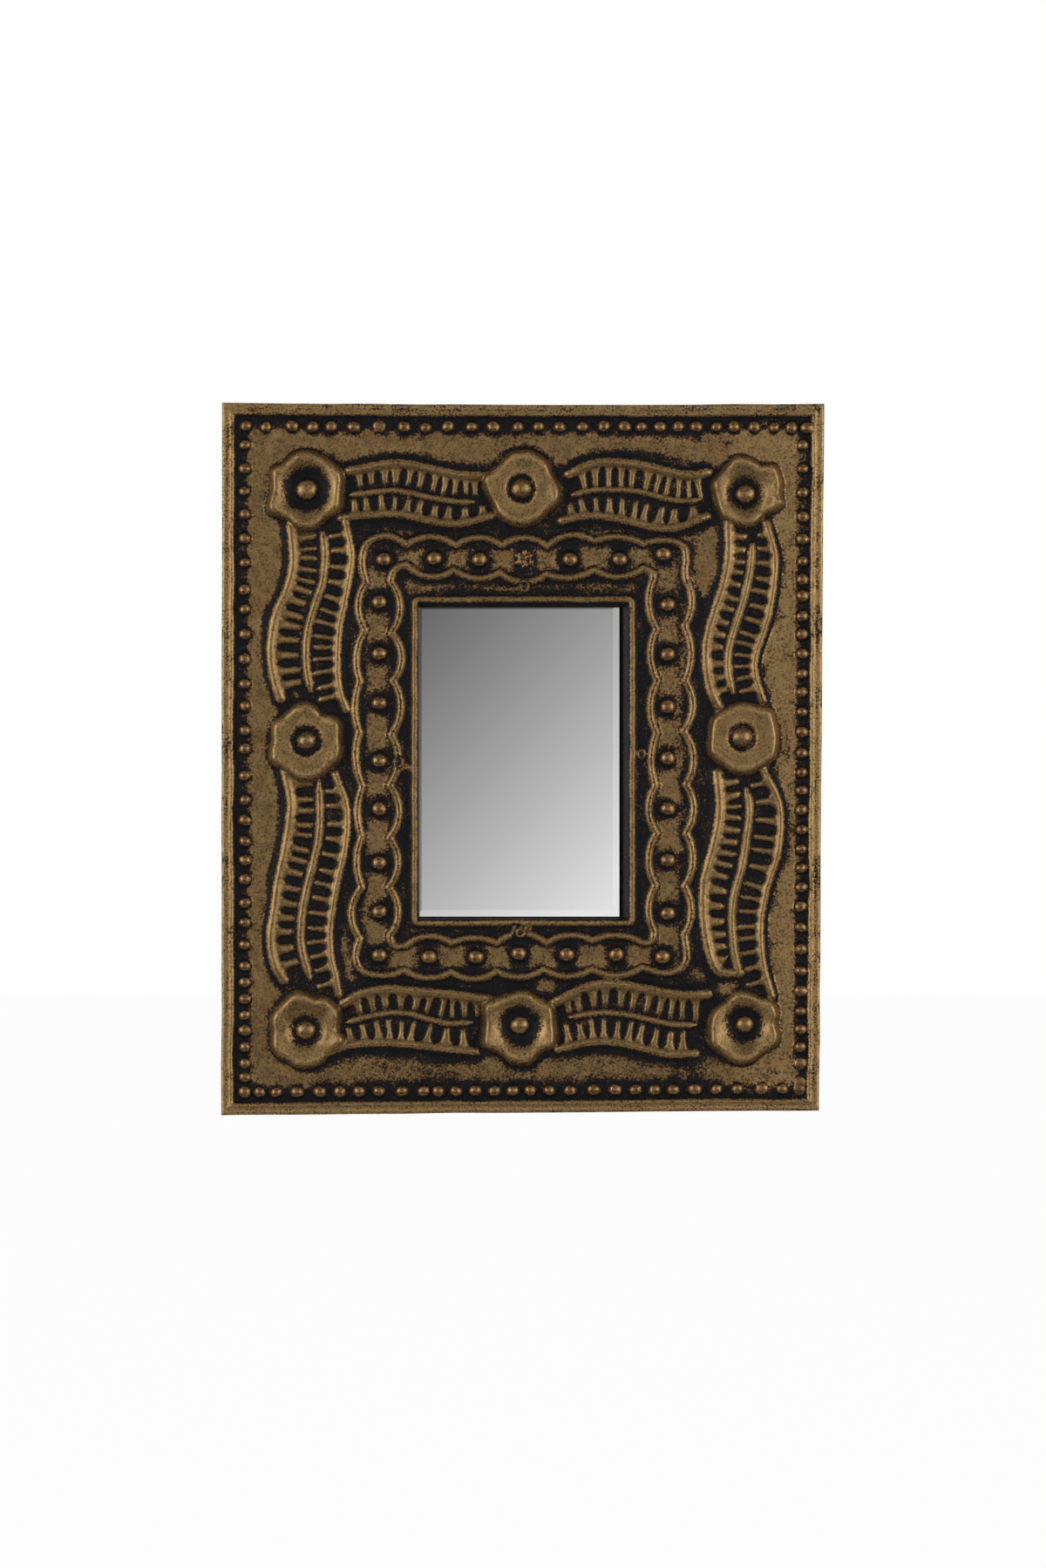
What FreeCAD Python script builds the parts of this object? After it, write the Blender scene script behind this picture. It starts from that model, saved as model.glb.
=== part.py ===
import FreeCAD, Part

import math
import os

from FreeCAD import Vector

# A wall mirror: a sheet of embossed tin folded over flat planks, with a stock mirror glass behind its window.
# Millimetres. X is the width, Z is up and the front faces -Y.
# The origin lies on the wall plane, behind the middle of the tin sheet.

# Driving sizes: the tin sheet and the planks inside it
sheet_width = 300.0
sheet_height = 355.0
tin = 0.6
hem_width = 9.0
plank_thickness = 10.0
plank_clearance = 1.6
board_thickness = 4.0
board_lap = 24.0

# The window in the tin, the flange that turns back from it, and the timber opening behind
window_width = 105.0
window_height = 158.0
window_shift_x = 0.9
window_shift_z = -1.7
flange_depth = 3.4
slant_left = 0.5
slant_right = 3.0
slant_top = 2.0
slant_bottom = 0.8
timber_reveal = 3.0

# The glass and what presses it forward
glass_width = 102.2
glass_height = 157.2
glass_thickness = 3.0
glass_lap_left = 2.2
glass_lap_top = 2.4
bevel_width = 2.5
bevel_depth = 0.6
card_thickness = 0.8
pad_clearance = 1.0

# Relief: the rolled rim, and the lip round the window
sink = 0.3
rim_width = 5.6
rim_crown = 2.2
rim_height = 1.6
lip_width = 4.2
lip_crown = 1.8
lip_height = 2.0
lip_corner = 2.6

# Relief: the outer row of bosses
row_inset = 11.6
row_pitch = 10.7
row_boss_radius = 3.1
row_boss_height = 2.2

# Relief: the chain, a ridge either side of a row of bosses
chain_width = 144.0
chain_height = 198.0
chain_shift_x = 0.8
chain_pitch = 24.4
chain_boss_radius = 4.0
chain_boss_height = 3.1
outer_bulge = 11.8
outer_pinch = 6.8
inner_bulge = 9.4
inner_pinch = 5.8
inner_corner = 7.0
ridge_width = 4.4
ridge_crown = 1.4
chain_ridge_height = 2.4

# Relief: the flowers
flower_inset_side = 41.0
flower_inset_ends = 43.6
flower_radius = 20.0
flower_height = 5.0
flower_boss_radius = 4.3
flower_boss_height = 4.4
cup_floor = 1.6

# Relief: the ferns that run from flower to flower
fern_gap = 3.0
fern_half_width_ends = 13.5
fern_half_width_side = 15.5
fern_sway_ends = 3.0
fern_sway_side = 5.0
fern_ridge_width = 4.8
fern_ridge_crown = 1.6
vein_width = 3.4
vein_crown = 1.0
fern_height = 2.7
tooth_pitch = 8.8
tooth_width = 3.4

# Nails and tacks: length, half the shank's side, and the head's radius
tack_length = 8.0
tack_shank = 0.7
tack_head = 2.2
tack_dome = 0.8
tack_pitch = 110.0
tack_inset = 5.4
face_nail_head = 1.7
face_nail_dome = 0.5
burr_width = 1.3
burr_height = 1.0
nail_above_window = 8.4
nail_below_window = 6.7
nail_left_of_window = 10.1
nail_right_of_window = 6.6
nail_shift_above = 0.4
nail_shift_below = -1.5
nail_shift_left = -0.3
nail_shift_right = 3.7
board_nail_length = 9.0
board_nail_inset = 9.0

# The hanger at the top of the back
hanger_drop = 37.0
wire_radius = 0.9
ring_play = 0.15
ring_width = 17.8
ring_leg = 4.0
ring_corner = 1.8
strap_width = 12.0
strap_length = 28.0
strap_gauge = 0.7
screw_head = 2.6
screw_dome = 1.0
screw_shank = 1.1
screw_length = 8.0
near_screw = 7.0
far_screw = 20.0

overrun = 1.0

# Counts, and shares of the sizes they follow
ROW_SIDES = 5
LINK_SIDES = 6
BOSS_SIDES = 8
NAIL_SIDES = 6
LINK_STEPS = 4
FERN_STEPS = 4
LOBES = 6
LOBE_STEPS = 3
TOOTH_ROWS = (-1, 1)
WIRE_SIDES = 6
CORNER_STEPS = 2
BOW_STEPS = 7
middle_share = 0.5
shoulder_share = 0.7
lobe_share = 0.13
petal_shoulder_share = 0.86
petal_shoulder_height_share = 0.78
petal_crown_share = 0.68
cup_floor_share = 0.32
strap_curl_share = 0.78
deep_cup_share = 0.56
narrow_cup_share = 0.40

# Levels from the wall forwards, and half sizes
plank_back = -board_thickness
plank_front = plank_back - plank_thickness
face = plank_front - tin
flange_end = face + flange_depth
glass_back = flange_end + glass_thickness
card_back = glass_back + card_thickness
half_width = sheet_width / 2
half_height = sheet_height / 2

# Edges of the window at the front of the sheet, of the flange's rear end, and of the timber opening
window = {
    "left": window_shift_x - window_width / 2,
    "right": window_shift_x + window_width / 2,
    "bottom": window_shift_z - window_height / 2,
    "top": window_shift_z + window_height / 2,
}
sight = {
    "left": window["left"] + slant_left,
    "right": window["right"] - slant_right,
    "bottom": window["bottom"] + slant_bottom,
    "top": window["top"] - slant_top,
}


def grown(edges, by):
    """The same rectangle, larger by so much on every side."""
    return {
        "left": edges["left"] - by,
        "right": edges["right"] + by,
        "bottom": edges["bottom"] - by,
        "top": edges["top"] + by,
    }


sheet = {"left": -half_width, "right": half_width, "bottom": -half_height, "top": half_height}
timber = grown(sheet, -tin - plank_clearance)
opening = grown(window, timber_reveal)


def slab(edges, front, back):
    """A plate with these edges, between two levels."""
    corner = Vector(edges["left"], front, edges["bottom"])
    wide = edges["right"] - edges["left"]
    high = edges["top"] - edges["bottom"]
    return Part.makeBox(wide, back - front, high, corner)


def corners(edges):
    """The four corners of a rectangle as (x, z), anticlockwise from the lower left as the front shows them."""
    return [
        (edges["left"], edges["bottom"]),
        (edges["right"], edges["bottom"]),
        (edges["right"], edges["top"]),
        (edges["left"], edges["top"]),
    ]


def clipped(edges, by):
    """A rectangle whose corners are cut off, as eight points."""
    left, right, bottom, top = (edges[k] for k in ("left", "right", "bottom", "top"))
    return [
        (left + by, bottom),
        (right - by, bottom),
        (right, bottom + by),
        (right, top - by),
        (right - by, top),
        (left + by, top),
        (left, top - by),
        (left, bottom + by),
    ]


def loop(points, level):
    """A closed outline through (x, z) points at one level."""
    ends = [Vector(x, level, z) for x, z in points]
    return Part.makePolygon(ends + ends[:1])


def raised(layers, tip=None):
    """A solid whose sides join outlines of equally many points, each given with its lift above the tin's face."""
    sections = [loop(points, face - lift) for points, lift in layers]
    if tip:
        x, z, lift = tip
        sections.append(Part.Vertex(Vector(x, face - lift, z)))
    return Part.makeLoft(sections, True, True)


def circle_points(x, z, radius, sides):
    """Points round a circle."""
    turns = [math.tau * k / sides for k in range(sides)]
    return [(x + radius * math.cos(a), z + radius * math.sin(a)) for a in turns]


def dome(x, z, radius, height, sides, base=-sink):
    """A boss struck from behind, in flat facets: a skirt, a shoulder and a peak."""
    shoulder = base + (height - base) * shoulder_share
    foot = (circle_points(x, z, radius, sides), base)
    neck = (circle_points(x, z, radius * shoulder_share, sides), shoulder)
    return raised([foot, neck], (x, z, height))


def between(low, high, lift, height):
    """The value at one lift on a straight slope from low, at the foot, to high, at the crown."""
    return low + (high - low) * (lift + sink) / (height + sink)


def band(outline, width, crown, height):
    """A closed ridge along outline(offset), as wide as given at its foot and at its crown."""
    low, high = width / 2, crown / 2
    body = raised([(outline(low), -sink), (outline(high), height)])
    under, over = -sink - overrun, height + overrun
    layers = [(outline(-between(low, high, lift, height)), lift) for lift in (under, over)]
    return body.cut(raised(layers))


def rim():
    """The rolled edge of the sheet, which slopes on both sides."""
    outer_foot = (corners(sheet), -sink)
    outer_crown = (corners(grown(sheet, -(rim_width - rim_crown) / 2)), rim_height)
    hollow = [
        (corners(grown(sheet, -rim_width + (rim_width - rim_crown) / 2)), rim_height),
        (corners(grown(sheet, -rim_width)), -sink),
    ]
    return raised([outer_foot, outer_crown]).cut(raised(hollow))


def lip():
    """The raised lip round the window, with its outer corners cut off."""
    slope = (lip_width - lip_crown) / 2
    foot = (clipped(grown(window, lip_width), lip_corner), -sink)
    crown = (clipped(grown(window, lip_width - slope), lip_corner), lip_height)
    return raised([foot, crown])


def row_bosses():
    """The row of small bosses inside the rim, evenly pitched along each side."""
    row = grown(sheet, -row_inset)
    solids = []
    ends = corners(row)
    for (x0, z0), (x1, z1) in zip(ends, ends[1:] + ends[:1]):
        run = math.hypot(x1 - x0, z1 - z0)
        count = round(run / row_pitch)
        for k in range(count):
            x = x0 + (x1 - x0) * k / count
            z = z0 + (z1 - z0) * k / count
            solids.append(dome(x, z, row_boss_radius, row_boss_height, ROW_SIDES))
    return solids


def chain_edges():
    """The rectangle through the middles of the chain's bosses."""
    return {
        "left": chain_shift_x - chain_width / 2,
        "right": chain_shift_x + chain_width / 2,
        "bottom": window_shift_z - chain_height / 2,
        "top": window_shift_z + chain_height / 2,
    }


def chain_sides():
    """Each side of the chain: its first boss, its direction, its outward direction, link length and link count."""
    ends = corners(chain_edges())
    sides = []
    for (x0, z0), (x1, z1) in zip(ends, ends[1:] + ends[:1]):
        run = math.hypot(x1 - x0, z1 - z0)
        count = round(run / chain_pitch)
        along = ((x1 - x0) / run, (z1 - z0) / run)
        outward = (along[1], -along[0])
        sides.append(((x0, z0), along, outward, run / count, count))
    return sides


def chain_bosses():
    """A boss in every link, and one at each corner."""
    solids = []
    for (x0, z0), along, _, link, count in chain_sides():
        for k in range(count):
            x, z = x0 + along[0] * link * k, z0 + along[1] * link * k
            solids.append(dome(x, z, chain_boss_radius, chain_boss_height, LINK_SIDES))
    return solids


def swing(link_share, bulge, pinch):
    """Distance from the boss line: bulge beside a boss, falling on a parabola to a sharp pinch halfway to the next."""
    half_links = 2 * abs(link_share - round(link_share))
    return pinch + (bulge - pinch) * (1 - half_links**2)


def outer_scallops(offset):
    """The chain's outer ridge: scallops along each side, and a quarter turn round each corner boss."""
    points = []
    for (x0, z0), along, outward, link, count in chain_sides():
        for k in range(LINK_STEPS * count + 1):
            far = link * k / LINK_STEPS
            out = swing(k / LINK_STEPS, outer_bulge, outer_pinch) + offset
            points.append((x0 + along[0] * far + outward[0] * out, z0 + along[1] * far + outward[1] * out))
        x1, z1 = x0 + along[0] * link * count, z0 + along[1] * link * count
        for k in range(1, LINK_STEPS):
            turn = math.pi / 2 * k / LINK_STEPS
            reach = outer_bulge + offset
            dx = outward[0] * math.cos(turn) + along[0] * math.sin(turn)
            dz = outward[1] * math.cos(turn) + along[1] * math.sin(turn)
            points.append((x1 + dx * reach, z1 + dz * reach))
    return points


def inner_scallops(offset):
    """The chain's inner ridge: scallops from pinch to pinch, joined across each corner."""
    points = []
    for (x0, z0), along, outward, link, count in chain_sides():
        near = inner_corner - offset
        points.append((x0 + (along[0] - outward[0]) * near, z0 + (along[1] - outward[1]) * near))
        for k in range(LINK_STEPS // 2, LINK_STEPS * count - LINK_STEPS // 2 + 1):
            far = link * k / LINK_STEPS
            out = swing(k / LINK_STEPS, inner_bulge, inner_pinch) - offset
            points.append((x0 + along[0] * far - outward[0] * out, z0 + along[1] * far - outward[1] * out))
    return points


def chain_ridges():
    return [
        band(outer_scallops, ridge_width, ridge_crown, chain_ridge_height),
        band(inner_scallops, ridge_width, ridge_crown, chain_ridge_height),
    ]


def flower_places():
    """The middle of each flower: the corners of the border and the middles of its sides."""
    x, z = half_width - flower_inset_side, half_height - flower_inset_ends
    return {
        "top_left": (-x, z),
        "top_middle": (0, z),
        "top_right": (x, z),
        "middle_left": (-x, 0),
        "middle_right": (x, 0),
        "bottom_left": (-x, -z),
        "bottom_middle": (0, -z),
        "bottom_right": (x, -z),
    }


DEEP_CUPS = ("top_left", "top_right", "bottom_right")


def petals(x, z, radius):
    """A lobed outline: the radius swells and shrinks by the lobe share once for each petal."""
    points = []
    for k in range(LOBES * LOBE_STEPS):
        turn = math.tau * k / (LOBES * LOBE_STEPS)
        reach = radius * (1 - lobe_share * (1 + math.cos(LOBES * turn)) / 2)
        points.append((x + reach * math.sin(turn), z + reach * math.cos(turn)))
    return points


def flower(x, z, cup_share):
    """A domed flower with soft petals, a cup pressed into its middle and a boss in the cup."""
    body = raised(
        [
            (petals(x, z, flower_radius), -sink),
            (petals(x, z, flower_radius * petal_shoulder_share), flower_height * petal_shoulder_height_share),
            (petals(x, z, flower_radius * petal_crown_share), flower_height),
        ]
    )
    mouth, floor = flower_radius * cup_share, flower_radius * cup_floor_share
    spread = (mouth - floor) * overrun / (flower_height - cup_floor)
    cup = raised(
        [
            (circle_points(x, z, floor, BOSS_SIDES), cup_floor),
            (circle_points(x, z, mouth + spread, BOSS_SIDES), flower_height + overrun),
        ]
    )
    boss = dome(x, z, flower_boss_radius, flower_boss_height, BOSS_SIDES, cup_floor - sink)
    return body.cut(cup).fuse(boss)


def flowers():
    solids = []
    for name, (x, z) in flower_places().items():
        solids.append(flower(x, z, deep_cup_share if name in DEEP_CUPS else narrow_cup_share))
    return solids


FERN_ENDS = (
    ("top_left", "top_middle"),
    ("top_middle", "top_right"),
    ("bottom_left", "bottom_middle"),
    ("bottom_middle", "bottom_right"),
    ("top_left", "middle_left"),
    ("middle_left", "bottom_left"),
    ("top_right", "middle_right"),
    ("middle_right", "bottom_right"),
)


class Fern:
    """A band of three ridges from one flower to the next, swaying first up or right and then back."""

    def __init__(self, start, end):
        places = flower_places()
        (x0, z0), (x1, z1) = places[start], places[end]
        gap = flower_radius + fern_gap
        between_flowers = math.hypot(x1 - x0, z1 - z0)
        self.along = ((x1 - x0) / between_flowers, (z1 - z0) / between_flowers)
        self.normal = (-self.along[1], self.along[0])
        self.start = (x0 + self.along[0] * gap, z0 + self.along[1] * gap)
        self.run = between_flowers - 2 * gap
        level = z0 == z1
        self.half_width = fern_half_width_ends if level else fern_half_width_side
        self.sway = fern_sway_ends if level else fern_sway_side

    def point(self, far, across):
        """The place so far along the fern and so far across it, where the middle line sways on a sine."""
        off = across + self.sway * math.sin(math.tau * far / self.run)
        return (
            self.start[0] + self.along[0] * far + self.normal[0] * off,
            self.start[1] + self.along[1] * far + self.normal[1] * off,
        )

    def ridge_outline(self, across, width, inset):
        """Both edges of one ridge, as one closed outline."""
        far = [inset + (self.run - 2 * inset) * k / FERN_STEPS for k in range(FERN_STEPS + 1)]
        low = [self.point(f, across - width / 2) for f in far]
        high = [self.point(f, across + width / 2) for f in far]
        return low + high[::-1]

    def ridge(self, across, width, crown_width):
        slope = (width - crown_width) / 2
        foot = (self.ridge_outline(across, width, 0), -sink)
        crown = (self.ridge_outline(across, crown_width, slope), fern_height)
        return raised([foot, crown])

    def tooth(self, far, side):
        """A tapering rib from an edge ridge towards the vein: full height at the edge, nothing at its tip."""
        root = side * self.half_width
        tip = side * vein_width / 2
        near, next_to = far - tooth_width / 2, far + tooth_width / 2
        foot = [self.point(near, root), self.point(next_to, root), self.point(far, tip)]
        x, z = self.point(far, root)
        return raised([(foot, -sink)], (x, z, fern_height))

    def solids(self):
        edges = (-self.half_width, self.half_width)
        made = [self.ridge(across, fern_ridge_width, fern_ridge_crown) for across in edges]
        made.append(self.ridge(0, vein_width, vein_crown))
        count = round(self.run / tooth_pitch)
        for k in range(count):
            far = self.run * (k + middle_share) / count
            made += [self.tooth(far, side) for side in TOOTH_ROWS]
        return made


def facing(x, y, z, direction):
    """The placement that turns a shape's own +Z to one direction and puts its origin at a place."""
    return FreeCAD.Placement(Vector(x, y, z), FreeCAD.Rotation(Vector(0, 0, 1), direction))


def nail(place, length, shank, head, thick, sides, flush=False):
    """A nail driven against its own +Z: a tapered square shank under a domed or a flush head."""
    square = [Vector(a * shank, b * shank, 0) for a, b in ((-1, -1), (1, -1), (1, 1), (-1, 1))]
    shaft = Part.makeLoft([Part.makePolygon(square + square[:1]), Part.Vertex(Vector(0, 0, -length))], True, True)
    top = head if flush else head * shoulder_share
    rings = []
    for radius, level in ((head, 0), (top, thick)):
        ring = [Vector(x, y, level) for x, y in circle_points(0, 0, radius, sides)]
        rings.append(Part.makePolygon(ring + ring[:1]))
    whole = shaft.fuse(Part.makeLoft(rings, True, True))
    whole.Placement = place
    return whole


def side_tacks():
    """Tacks through the hem into the planks' backs, evenly spaced along each side."""
    row = grown(sheet, -tack_inset)
    back = Vector(0, 1, 0)
    size = (tack_length, tack_shank, tack_head, tack_dome, NAIL_SIDES)
    solids = []
    ends = corners(row)
    for (x0, z0), (x1, z1) in zip(ends, ends[1:] + ends[:1]):
        count = round(math.hypot(x1 - x0, z1 - z0) / tack_pitch)
        for k in range(count):
            far = (k + middle_share) / count
            x, z = x0 + (x1 - x0) * far, z0 + (z1 - z0) * far
            solids.append(nail(facing(x, plank_back + tin, z, back), *size))
    return solids


def face_nail_places():
    """One nail near the middle of each side of the window, placed by eye."""
    return [
        (window_shift_x + nail_shift_above, window["top"] + nail_above_window),
        (window_shift_x + nail_shift_below, window["bottom"] - nail_below_window),
        (window["left"] - nail_left_of_window, window_shift_z + nail_shift_left),
        (window["right"] + nail_right_of_window, window_shift_z + nail_shift_right),
    ]


def face_nails():
    front = Vector(0, -1, 0)
    size = (tack_length, tack_shank, face_nail_head, face_nail_dome, NAIL_SIDES)
    return [nail(facing(x, face, z, front), *size) for x, z in face_nail_places()]


def burrs():
    """The ring of tin that stands up round each nail's head."""
    reach = face_nail_head + burr_width
    return [dome(x, z, reach, burr_height, NAIL_SIDES) for x, z in face_nail_places()]


def burr_pits():
    """The pit in each burr, and in the ridge beside it, down to the sheet's face: the nail's head sits in it."""
    pits = []
    for x, z in face_nail_places():
        round_pit = circle_points(x, z, face_nail_head, NAIL_SIDES)
        pits.append(raised([(round_pit, 0), (round_pit, chain_ridge_height + overrun)]))
    return pits


def board():
    return grown(opening, board_lap)


def board_nails():
    """Nails round the edge of the back board, their heads flush with it."""
    spots = grown(board(), -board_nail_inset)
    ends = corners(spots)
    back = Vector(0, 1, 0)
    size = (board_nail_length, tack_shank, tack_head, tack_dome, NAIL_SIDES, True)
    solids = []
    for (x0, z0), (x1, z1) in zip(ends, ends[1:] + ends[:1]):
        for x, z in ((x0, z0), ((x0 + x1) / 2, (z0 + z1) / 2)):
            solids.append(nail(facing(x, -tack_dome, z, back), *size))
    return solids


def hanger_axis():
    """Where the hanging ring turns: the height of its bar, and the bar's distance from the planks."""
    strap_outer = wire_radius + ring_play + strap_gauge
    return half_height - hanger_drop, plank_back + strap_outer


def hanger_strap():
    """A strap on the top rail whose upper end curls round the ring's bar, cut as one profile."""
    z, y = hanger_axis()
    inner = wire_radius + ring_play
    outer = inner + strap_gauge
    end = math.pi * (1 - 2 * strap_curl_share)

    def on(radius, angle):
        return Vector(-strap_width / 2, y + radius * math.cos(angle), z + radius * math.sin(angle))

    top = math.pi / 2
    foot = z - strap_length
    front_foot = Vector(-strap_width / 2, y - outer, foot)
    back_foot = Vector(-strap_width / 2, y - inner, foot)
    edges = [
        Part.makeLine(front_foot, on(outer, math.pi)),
        Part.Arc(on(outer, math.pi), on(outer, top), on(outer, end)).toShape(),
        Part.makeLine(on(outer, end), on(inner, end)),
        Part.Arc(on(inner, end), on(inner, top), on(inner, math.pi)).toShape(),
        Part.makeLine(on(inner, math.pi), back_foot),
        Part.makeLine(back_foot, front_foot),
    ]
    return Part.Face(Part.Wire(edges)).extrude(Vector(strap_width, 0, 0))


def hanger_screws():
    z, y = hanger_axis()
    seat = plank_back + strap_gauge
    back = Vector(0, 1, 0)
    size = (screw_length, screw_shank, screw_head, screw_dome, NAIL_SIDES)
    return [nail(facing(0, seat, z - drop, back), *size) for drop in (near_screw, far_screw)]


def ring_path():
    """Stations along the ring's wire, a D with its straight bar on top: each a place and its outward direction."""
    z, _ = hanger_axis()
    half = ring_width / 2
    bow = z - ring_corner - ring_leg
    stations = []
    for side in (1, -1):
        centre, turns = side * (half - ring_corner), range(CORNER_STEPS + 1)
        corner = []
        for k in turns:
            turn = math.pi / 2 * k / CORNER_STEPS
            out = (side * math.sin(turn), math.cos(turn))
            corner.append((centre + ring_corner * out[0], z - ring_corner + ring_corner * out[1], out))
        if side > 0:
            stations += corner
            for k in range(BOW_STEPS + 1):
                turn = math.pi * k / BOW_STEPS
                out = (math.cos(turn), -math.sin(turn))
                stations.append((half * out[0], bow + half * out[1], out))
        else:
            stations += corner[::-1]
    return stations


def hanging_ring():
    """A wire ring shaped like a D. The wire's section is faceted and turns with the path."""
    _, y = hanger_axis()
    sections = []
    for x, z, out in ring_path():
        ring = []
        for across, depth in circle_points(0, 0, wire_radius, WIRE_SIDES):
            ring.append(Vector(x + out[0] * across, y + depth, z + out[1] * across))
        sections.append(Part.makePolygon(ring + ring[:1]))
    return Part.makeLoft(sections, True, True, True)


def flange_space(wall, past):
    """The space inside the window's flange, wider by a wall: it narrows from the window to the sight edge."""
    share = past / flange_depth
    end = {k: sight[k] + (sight[k] - window[k]) * share for k in sight}
    return raised([(corners(grown(window, wall)), 0), (corners(grown(end, wall)), -flange_depth - past)])


def face_sheet(nails):
    """The tin: a tray folded round the planks, hemmed behind them, with the relief raised on its face."""
    tray = slab(sheet, face, plank_back + tin)
    tray = tray.cut(slab(grown(sheet, -tin), plank_front, plank_back))
    tray = tray.cut(slab(grown(sheet, -tin - hem_width), plank_back - overrun, plank_back + tin + overrun))
    relief = [rim(), lip()] + row_bosses() + chain_bosses() + chain_ridges() + flowers() + burrs()
    for start, end in FERN_ENDS:
        relief += Fern(start, end).solids()
    whole = tray.multiFuse(relief + [flange_space(tin, 0)])
    front = slab(window, face - lip_height - overrun, face)
    return whole.cut(Part.makeCompound([front, flange_space(0, overrun)] + burr_pits() + nails))


def planks(nails):
    """Two rails and two stiles, half lapped where they cross: rails behind, stiles in front."""
    middle = (plank_front + plank_back) / 2
    made = {}
    for name, side, inner in (("top_rail", "top", "bottom"), ("bottom_rail", "bottom", "top")):
        edges = dict(timber)
        edges[inner] = opening[side]
        whole = slab(edges, middle, plank_back)
        between_stiles = dict(edges, left=opening["left"], right=opening["right"])
        made[name] = whole.fuse(slab(between_stiles, plank_front, middle)).removeSplitter()
    for name, side, inner in (("left_stile", "left", "right"), ("right_stile", "right", "left")):
        edges = dict(timber)
        edges[inner] = opening[side]
        whole = slab(edges, plank_front, middle)
        between_rails = dict(edges, bottom=opening["bottom"], top=opening["top"])
        made[name] = whole.fuse(slab(between_rails, middle, plank_back)).removeSplitter()
    return {name: plank.cut(Part.makeCompound(nails)) for name, plank in made.items()}


def glass_edges():
    left = sight["left"] - glass_lap_left
    top = sight["top"] + glass_lap_top
    return {"left": left, "right": left + glass_width, "bottom": top - glass_height, "top": top}


def mirror_glass():
    """The glass, with a narrow bevel ground round its front."""
    edges = glass_edges()
    pane = slab(edges, flange_end + bevel_depth, glass_back)
    foot, top = corners(edges), corners(grown(edges, -bevel_width))
    front = Part.makeLoft([loop(foot, flange_end + bevel_depth), loop(top, flange_end)], True, True)
    return pane.fuse(front).removeSplitter()


def packing(front, back):
    return slab(grown(opening, -pad_clearance), front, back)


def build():
    """Every node of the mirror by name, each one or more solids."""
    tacks, fixings, closers, screws = side_tacks(), face_nails(), board_nails(), hanger_screws()
    nodes = {
        "face_sheet": face_sheet(tacks + fixings),
        "mirror_glass": mirror_glass(),
        "backing_card": packing(glass_back, card_back),
        "packing_pad": packing(card_back, plank_back),
        "back_board": slab(board(), plank_back, 0).cut(Part.makeCompound(closers)),
        "side_tacks": Part.makeCompound(tacks),
        "face_nails": Part.makeCompound(fixings),
        "board_nails": Part.makeCompound(closers),
        "hanger_strap": hanger_strap().cut(Part.makeCompound(screws)),
        "hanger_screws": Part.makeCompound(screws),
        "hanging_ring": hanging_ring(),
    }
    nodes.update(planks(tacks + fixings + closers + screws))
    return nodes


def main():
    os.makedirs("parts", exist_ok=True)
    for name, shape in build().items():
        solids = len(shape.Solids)
        print(f"{name}: {solids} solids, {shape.Volume:.1f} mm3, valid {shape.isValid()}")
        shape.exportStep(f"parts/{name}.step")


main()
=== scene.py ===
# %% [markdown]
# # A small mirror in an embossed tin frame
# One sheet of thin tin is laid face down on something soft and pushed out from behind with blunt tools.
# Then it is blackened, and a bronze wash is rubbed over it, which stays on the high places only.
# The lesson builds that sheet as a surface of heights, dresses the carried pieces, and lights them.

# %% Load the fixed frame
import math

import bmesh
import bpy
import numpy as np
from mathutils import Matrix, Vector


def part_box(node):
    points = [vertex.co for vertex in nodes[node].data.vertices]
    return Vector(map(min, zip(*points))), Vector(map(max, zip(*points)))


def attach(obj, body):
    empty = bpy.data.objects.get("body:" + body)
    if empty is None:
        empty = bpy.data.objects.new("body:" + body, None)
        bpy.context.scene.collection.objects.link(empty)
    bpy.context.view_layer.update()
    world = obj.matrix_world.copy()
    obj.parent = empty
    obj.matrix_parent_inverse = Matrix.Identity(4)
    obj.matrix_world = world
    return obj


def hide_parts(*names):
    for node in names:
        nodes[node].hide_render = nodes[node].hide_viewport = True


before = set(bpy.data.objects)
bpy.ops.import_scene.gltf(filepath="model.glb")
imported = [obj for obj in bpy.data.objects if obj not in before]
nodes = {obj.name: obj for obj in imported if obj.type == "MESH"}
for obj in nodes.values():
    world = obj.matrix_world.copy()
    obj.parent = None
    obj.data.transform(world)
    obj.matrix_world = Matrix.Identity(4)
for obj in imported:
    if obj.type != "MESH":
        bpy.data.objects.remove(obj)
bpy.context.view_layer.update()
print("carried nodes:", ", ".join(sorted(nodes)))

# %% [markdown]
# The hand work is uneven, so its places were read off the picture, in pixels, and written down as tables.
# The picture is taken straight on, so one scale turns every pixel into millimetres on the face of the sheet.

# %% From the picture's pixels to millimetres
MM = 0.001
MM_PER_PIXEL = 0.436
MIDDLE = (598.5, 869.5)


def on_sheet(pixels):
    """Pixels to millimetres: x grows to the right of the middle, z grows upwards from it."""
    p = np.asarray(pixels, float)
    return np.stack([(p[..., 0] - MIDDLE[0]) * MM_PER_PIXEL, (MIDDLE[1] - p[..., 1]) * MM_PER_PIXEL], -1)


FACE_LEVEL = -14.6
sheet_low, sheet_high = (np.array(corner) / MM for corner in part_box("face_sheet"))
print("sheet, mm:", sheet_low.round(1), sheet_high.round(1))

# %% [markdown]
# The sheet is a grid of points. Grid lines run exactly along the edges of the window.
# The real sheet was cut by eye, so its outline is a little out of square: the grid is stretched
# towards the outline, more and more from the chain outwards, and not at all by the window.

# %% The grid of the sheet
STEP = 0.55
HALF_WIDTH, HALF_HEIGHT = 150.0, 177.5
WINDOW = {"left": -51.6, "right": 53.4, "bottom": -80.7, "top": 77.3}
SIGHT = {"left": -51.1, "right": 50.4, "bottom": -79.9, "top": 75.3}


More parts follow.
